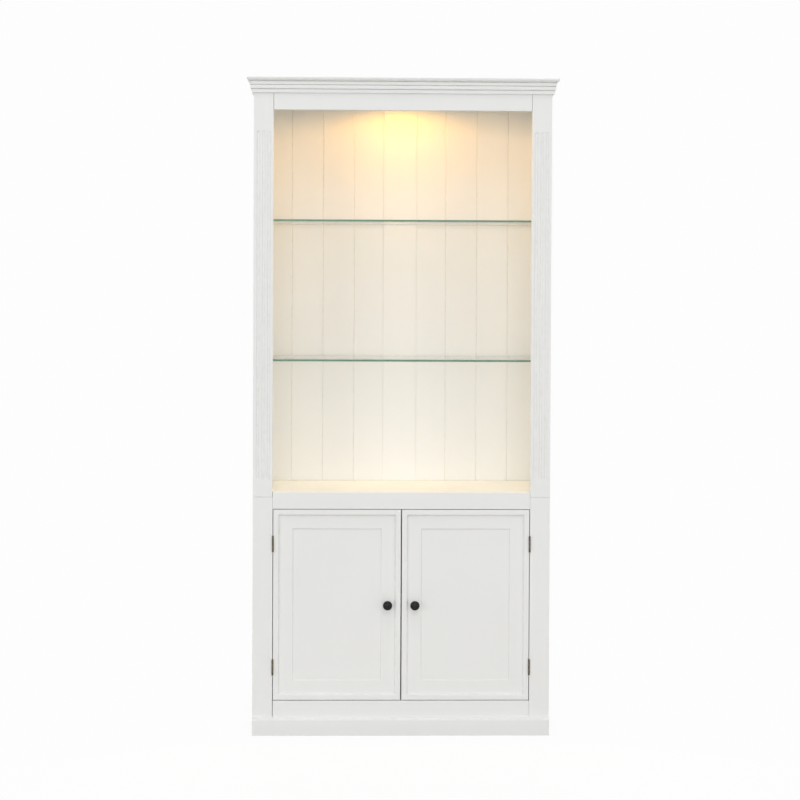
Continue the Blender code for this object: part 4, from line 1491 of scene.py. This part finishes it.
def build_hinge(side, sign, end):
    """Two leaves and a headed pin. Returns the places of the screws that each body holds."""
    name = f"{side}_hinge_{end}"
    middle, _ = middle_of(f"{name}_pin")
    centre = (middle.x, middle.y)
    level = middle.z
    face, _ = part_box(f"base_stile_{side}")
    length = (HINGE_HEIGHT - (KNUCKLES - 1) * GAP) / KNUCKLES
    spans = []
    for number in range(KNUCKLES):
        low = level - HINGE_HEIGHT / 2 + number * (length + GAP)
        spans.append((low + NECK_INSET, low + length - NECK_INSET))
    pieces = (
        ("frame_leaf", sign, "cabinet", (spans[0], spans[2])),
        ("door_leaf", -sign, f"{side}_door", (spans[1],)),
    )
    screws = {}
    for piece, leaf_sign, body, held in pieces:
        leaf, screws[body] = hinge_leaf(name, leaf_sign, centre, level, face.y, held)
        fit(f"{name}_knuckled_{piece}", leaf, "bronze", body, stands_for=[f"{name}_{piece}"])
    half = HINGE_HEIGHT / 2 + GAP
    radius = KNUCKLE_BORE - GAP
    dome = arc((0, half), PIN_HEAD_RADIUS, PIN_HEAD, 0, 90, PIN_HEAD_STEPS)
    upper = [*dome[:-1], (0, half + PIN_HEAD)]
    lower = [(r, -distance) for r, distance in reversed(upper)]
    profile = [*lower, (radius, -half), (radius, half), *upper]
    mesh = turned("hinge pin", profile, KNUCKLE_SIDES, (0, 0, 1), (*centre, level))
    fit(f"{name}_domed_pin", mesh, "bronze", stands_for=[f"{name}_pin"], weighted=False)
    return screws


def build_hinges():
    """The four hinges, and the screws in one mesh for each body."""
    held = {"cabinet": []}
    for side, sign in SIDES.items():
        held[f"{side}_door"] = []
        for end in LEVELS:
            for body, places in build_hinge(side, sign, end).items():
                held[body] += places
    for seed, (body, places) in enumerate(held.items()):
        fixings(f"{body}_hinge_screws", places, "bronze", body, seed + 1)


def build_catch():
    """A plastic housing with two round magnets in steel cups, held by two screws."""
    low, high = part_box("magnetic_catch")
    strike, _ = middle_of("right_door_strike")
    bore = MAGNET_RADIUS + MAGNET_RIM
    floor = MAGNET_RIM * 2
    seat = [(0, -bore), (bore, -bore), (bore, floor), (0, floor)]
    cup = [
        (0, floor),
        (bore, floor),
        (bore, MAGNET_SINK),
        (bore - MAGNET_SINK, 0),
        (MAGNET_RADIUS, 0),
        (MAGNET_RADIUS, MAGNET_RIM),
        (0, MAGNET_RIM),
    ]
    disc = [
        (0, MAGNET_SINK),
        (MAGNET_RADIUS - GAP, MAGNET_SINK),
        (MAGNET_RADIUS - GAP, MAGNET_RIM),
        (0, MAGNET_RIM),
    ]
    cuts = []
    magnets = []
    screws = []
    for sign in SIDES.values():
        place = (sign * STRIKE_X, low.y, strike.z)
        cuts.append(turned("magnet seat", seat, CATCH_SIDES, (0, 1, 0), place))
        magnets.append(turned("cup", cup, CATCH_SIDES, (0, 1, 0), place))
        magnets.append(turned("magnet", disc, CATCH_SIDES, (0, 1, 0), place))
        place = (sign * CATCH_SCREW_X, high.y - SCREW_SINK, high.z - CATCH_SCREW_DROP)
        screws.append((place, (0, 1, 0)))
    mesh = worked(block("catch", low, high, CATCH_ROUND, CATCH_STEPS), "DIFFERENCE", cuts)
    fit("catch_housing", mesh, "plastic", stands_for=["magnetic_catch"])
    fit("catch_magnets", joined("magnets", magnets), "magnet", weighted=False)
    fixings("catch_screws", screws, "steel", "cabinet", CATCH_SCREW_SEED)


# Studio

def build_floor():
    """A plain pale floor that keeps the cabinet's shadow and fades into the white round it."""
    reach = FLOOR_REACH
    slab = block("floor", (-reach, -reach, FLOOR_BOTTOM), (reach, reach, FLOOR_TOP))
    floor = linked("studio floor", slab)
    material, tree, shader = new_finish("studio floor", FLOOR_ROUGHNESS)
    shader.inputs["Specular IOR Level"].default_value = 0.0
    place = on_piece(tree)
    speckle = noise(tree, place, FLOOR_SPECKLE, 3.0)
    feed(tree, shader, Base_Color=mixed(tree, speckle, FLOOR_PALE, FLOOR_PALER))
    inputs = {0: stretched(tree, place, (1.0, 1.0, 0.0))}
    distance = add(tree, "ShaderNodeVectorMath", inputs, operation="LENGTH").outputs["Value"]
    kept = ramp(tree, distance, SHADOW_END, SHADOW_START, 0.0, SHADOW_SHARE)
    strength = ramp(tree, kept, 0.0, SHADOW_SHARE, BACKGROUND, FLOOR_WHITE)
    white = add(tree, "ShaderNodeEmission", {"Color": WHITE, "Strength": strength})
    share = maths(tree, "MULTIPLY", in_view(tree), maths(tree, "SUBTRACT", 1.0, kept))
    inputs = {0: share, 1: shader.outputs[0], 2: white.outputs[0]}
    both = add(tree, "ShaderNodeMixShader", inputs)
    feed(tree, tree.nodes["Material Output"], Surface=both.outputs[0])
    floor.data.materials.append(material)


def light_world():
    """An even white room. It lights softly, and is seen white behind the cabinet."""
    world = bpy.data.worlds.new("studio")
    bpy.context.scene.world = world
    world.use_nodes = True
    tree = world.node_tree
    tree.nodes.clear()
    strength = ramp(tree, in_view(tree), 0.0, 1.0, WORLD_STRENGTH, BACKGROUND)
    inputs = {"Color": WHITE, "Strength": strength}
    background = add(tree, "ShaderNodeBackground", inputs)
    output = add(tree, "ShaderNodeOutputWorld")
    feed(tree, output, Surface=background.outputs["Background"])


def softbox(name, place, size, power):
    """A square lamp that the camera doesn't see, aimed at the cabinet's middle."""
    light = bpy.data.lights.new(name, "AREA")
    light.shape = "SQUARE"
    light.size = size
    light.energy = power
    obj = linked(name, light)
    obj.location = place
    aim = Vector(LIGHT_AIM) - Vector(place)
    obj.rotation_euler = aim.to_track_quat("-Z", "Y").to_euler()
    obj.visible_camera = False


def light_spot(name, fading, colour, power, beam):
    """A wide beam from the cabinet's own spotlight. fading names how it falls with distance."""
    low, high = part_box("lamp_lens")
    housing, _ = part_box("lamp_housing")
    light = bpy.data.lights.new(name, "SPOT")
    light.energy = power
    light.color = colour
    angle, light.spot_blend = beam
    light.spot_size = math.radians(angle)
    light.shadow_soft_size = SPOT_RADIUS
    light.use_nodes = True
    tree = light.node_tree
    fade = add(tree, "ShaderNodeLightFalloff", {"Strength": 1.0})
    feed(tree, tree.nodes["Emission"], Strength=fade.outputs[fading])
    obj = linked(name, light)
    obj.location = ((low.x + high.x) / 2, (low.y + high.y) / 2, housing.z - GAP)
    obj.visible_camera = False


def set_camera():
    """The camera at the photograph's place, with the photograph's tilt and lens."""
    camera = bpy.data.cameras.new("camera")
    camera.lens = CAMERA_LENS
    camera.sensor_width = SENSOR
    camera.shift_x = SHIFT_X
    camera.shift_y = SHIFT_Y
    obj = linked("camera", camera)
    level = math.cos(CAMERA_PITCH)
    fall = -math.sin(CAMERA_PITCH)
    ahead = Vector((math.sin(CAMERA_YAW) * level, math.cos(CAMERA_YAW) * level, fall))
    right = Vector((math.cos(CAMERA_YAW), -math.sin(CAMERA_YAW), 0.0))
    up = right.cross(ahead)
    across = math.cos(CAMERA_ROLL) * right + math.sin(CAMERA_ROLL) * up
    upward = math.cos(CAMERA_ROLL) * up - math.sin(CAMERA_ROLL) * right
    turn = Matrix((across, upward, -ahead)).transposed().to_4x4()
    obj.matrix_world = Matrix.Translation(CAMERA_PLACE) @ turn
    bpy.context.scene.camera = obj


set_camera()
paint_boards()
build_back()
build_pilasters()
build_cornice()
build_glass_shelves()
build_pins()
build_lamp()
build_face_frame()
build_rail_and_skirting()
for side_name, side_sign in SIDES.items():
    build_door(side_name, side_sign)
build_hinges()
build_catch()
build_floor()
light_world()
for softbox_values in SOFTBOXES:
    softbox(*softbox_values)
light_spot("spotlight glow", "Linear", SPOT_GLOW, SPOT_GLOW_POWER, SPOT_GLOW_BEAM)
light_spot("spotlight spill", "Constant", SPOT_SPILL, SPOT_SPILL_POWER, SPOT_SPILL_BEAM)
bpy.context.scene.view_settings.view_transform = "Standard"
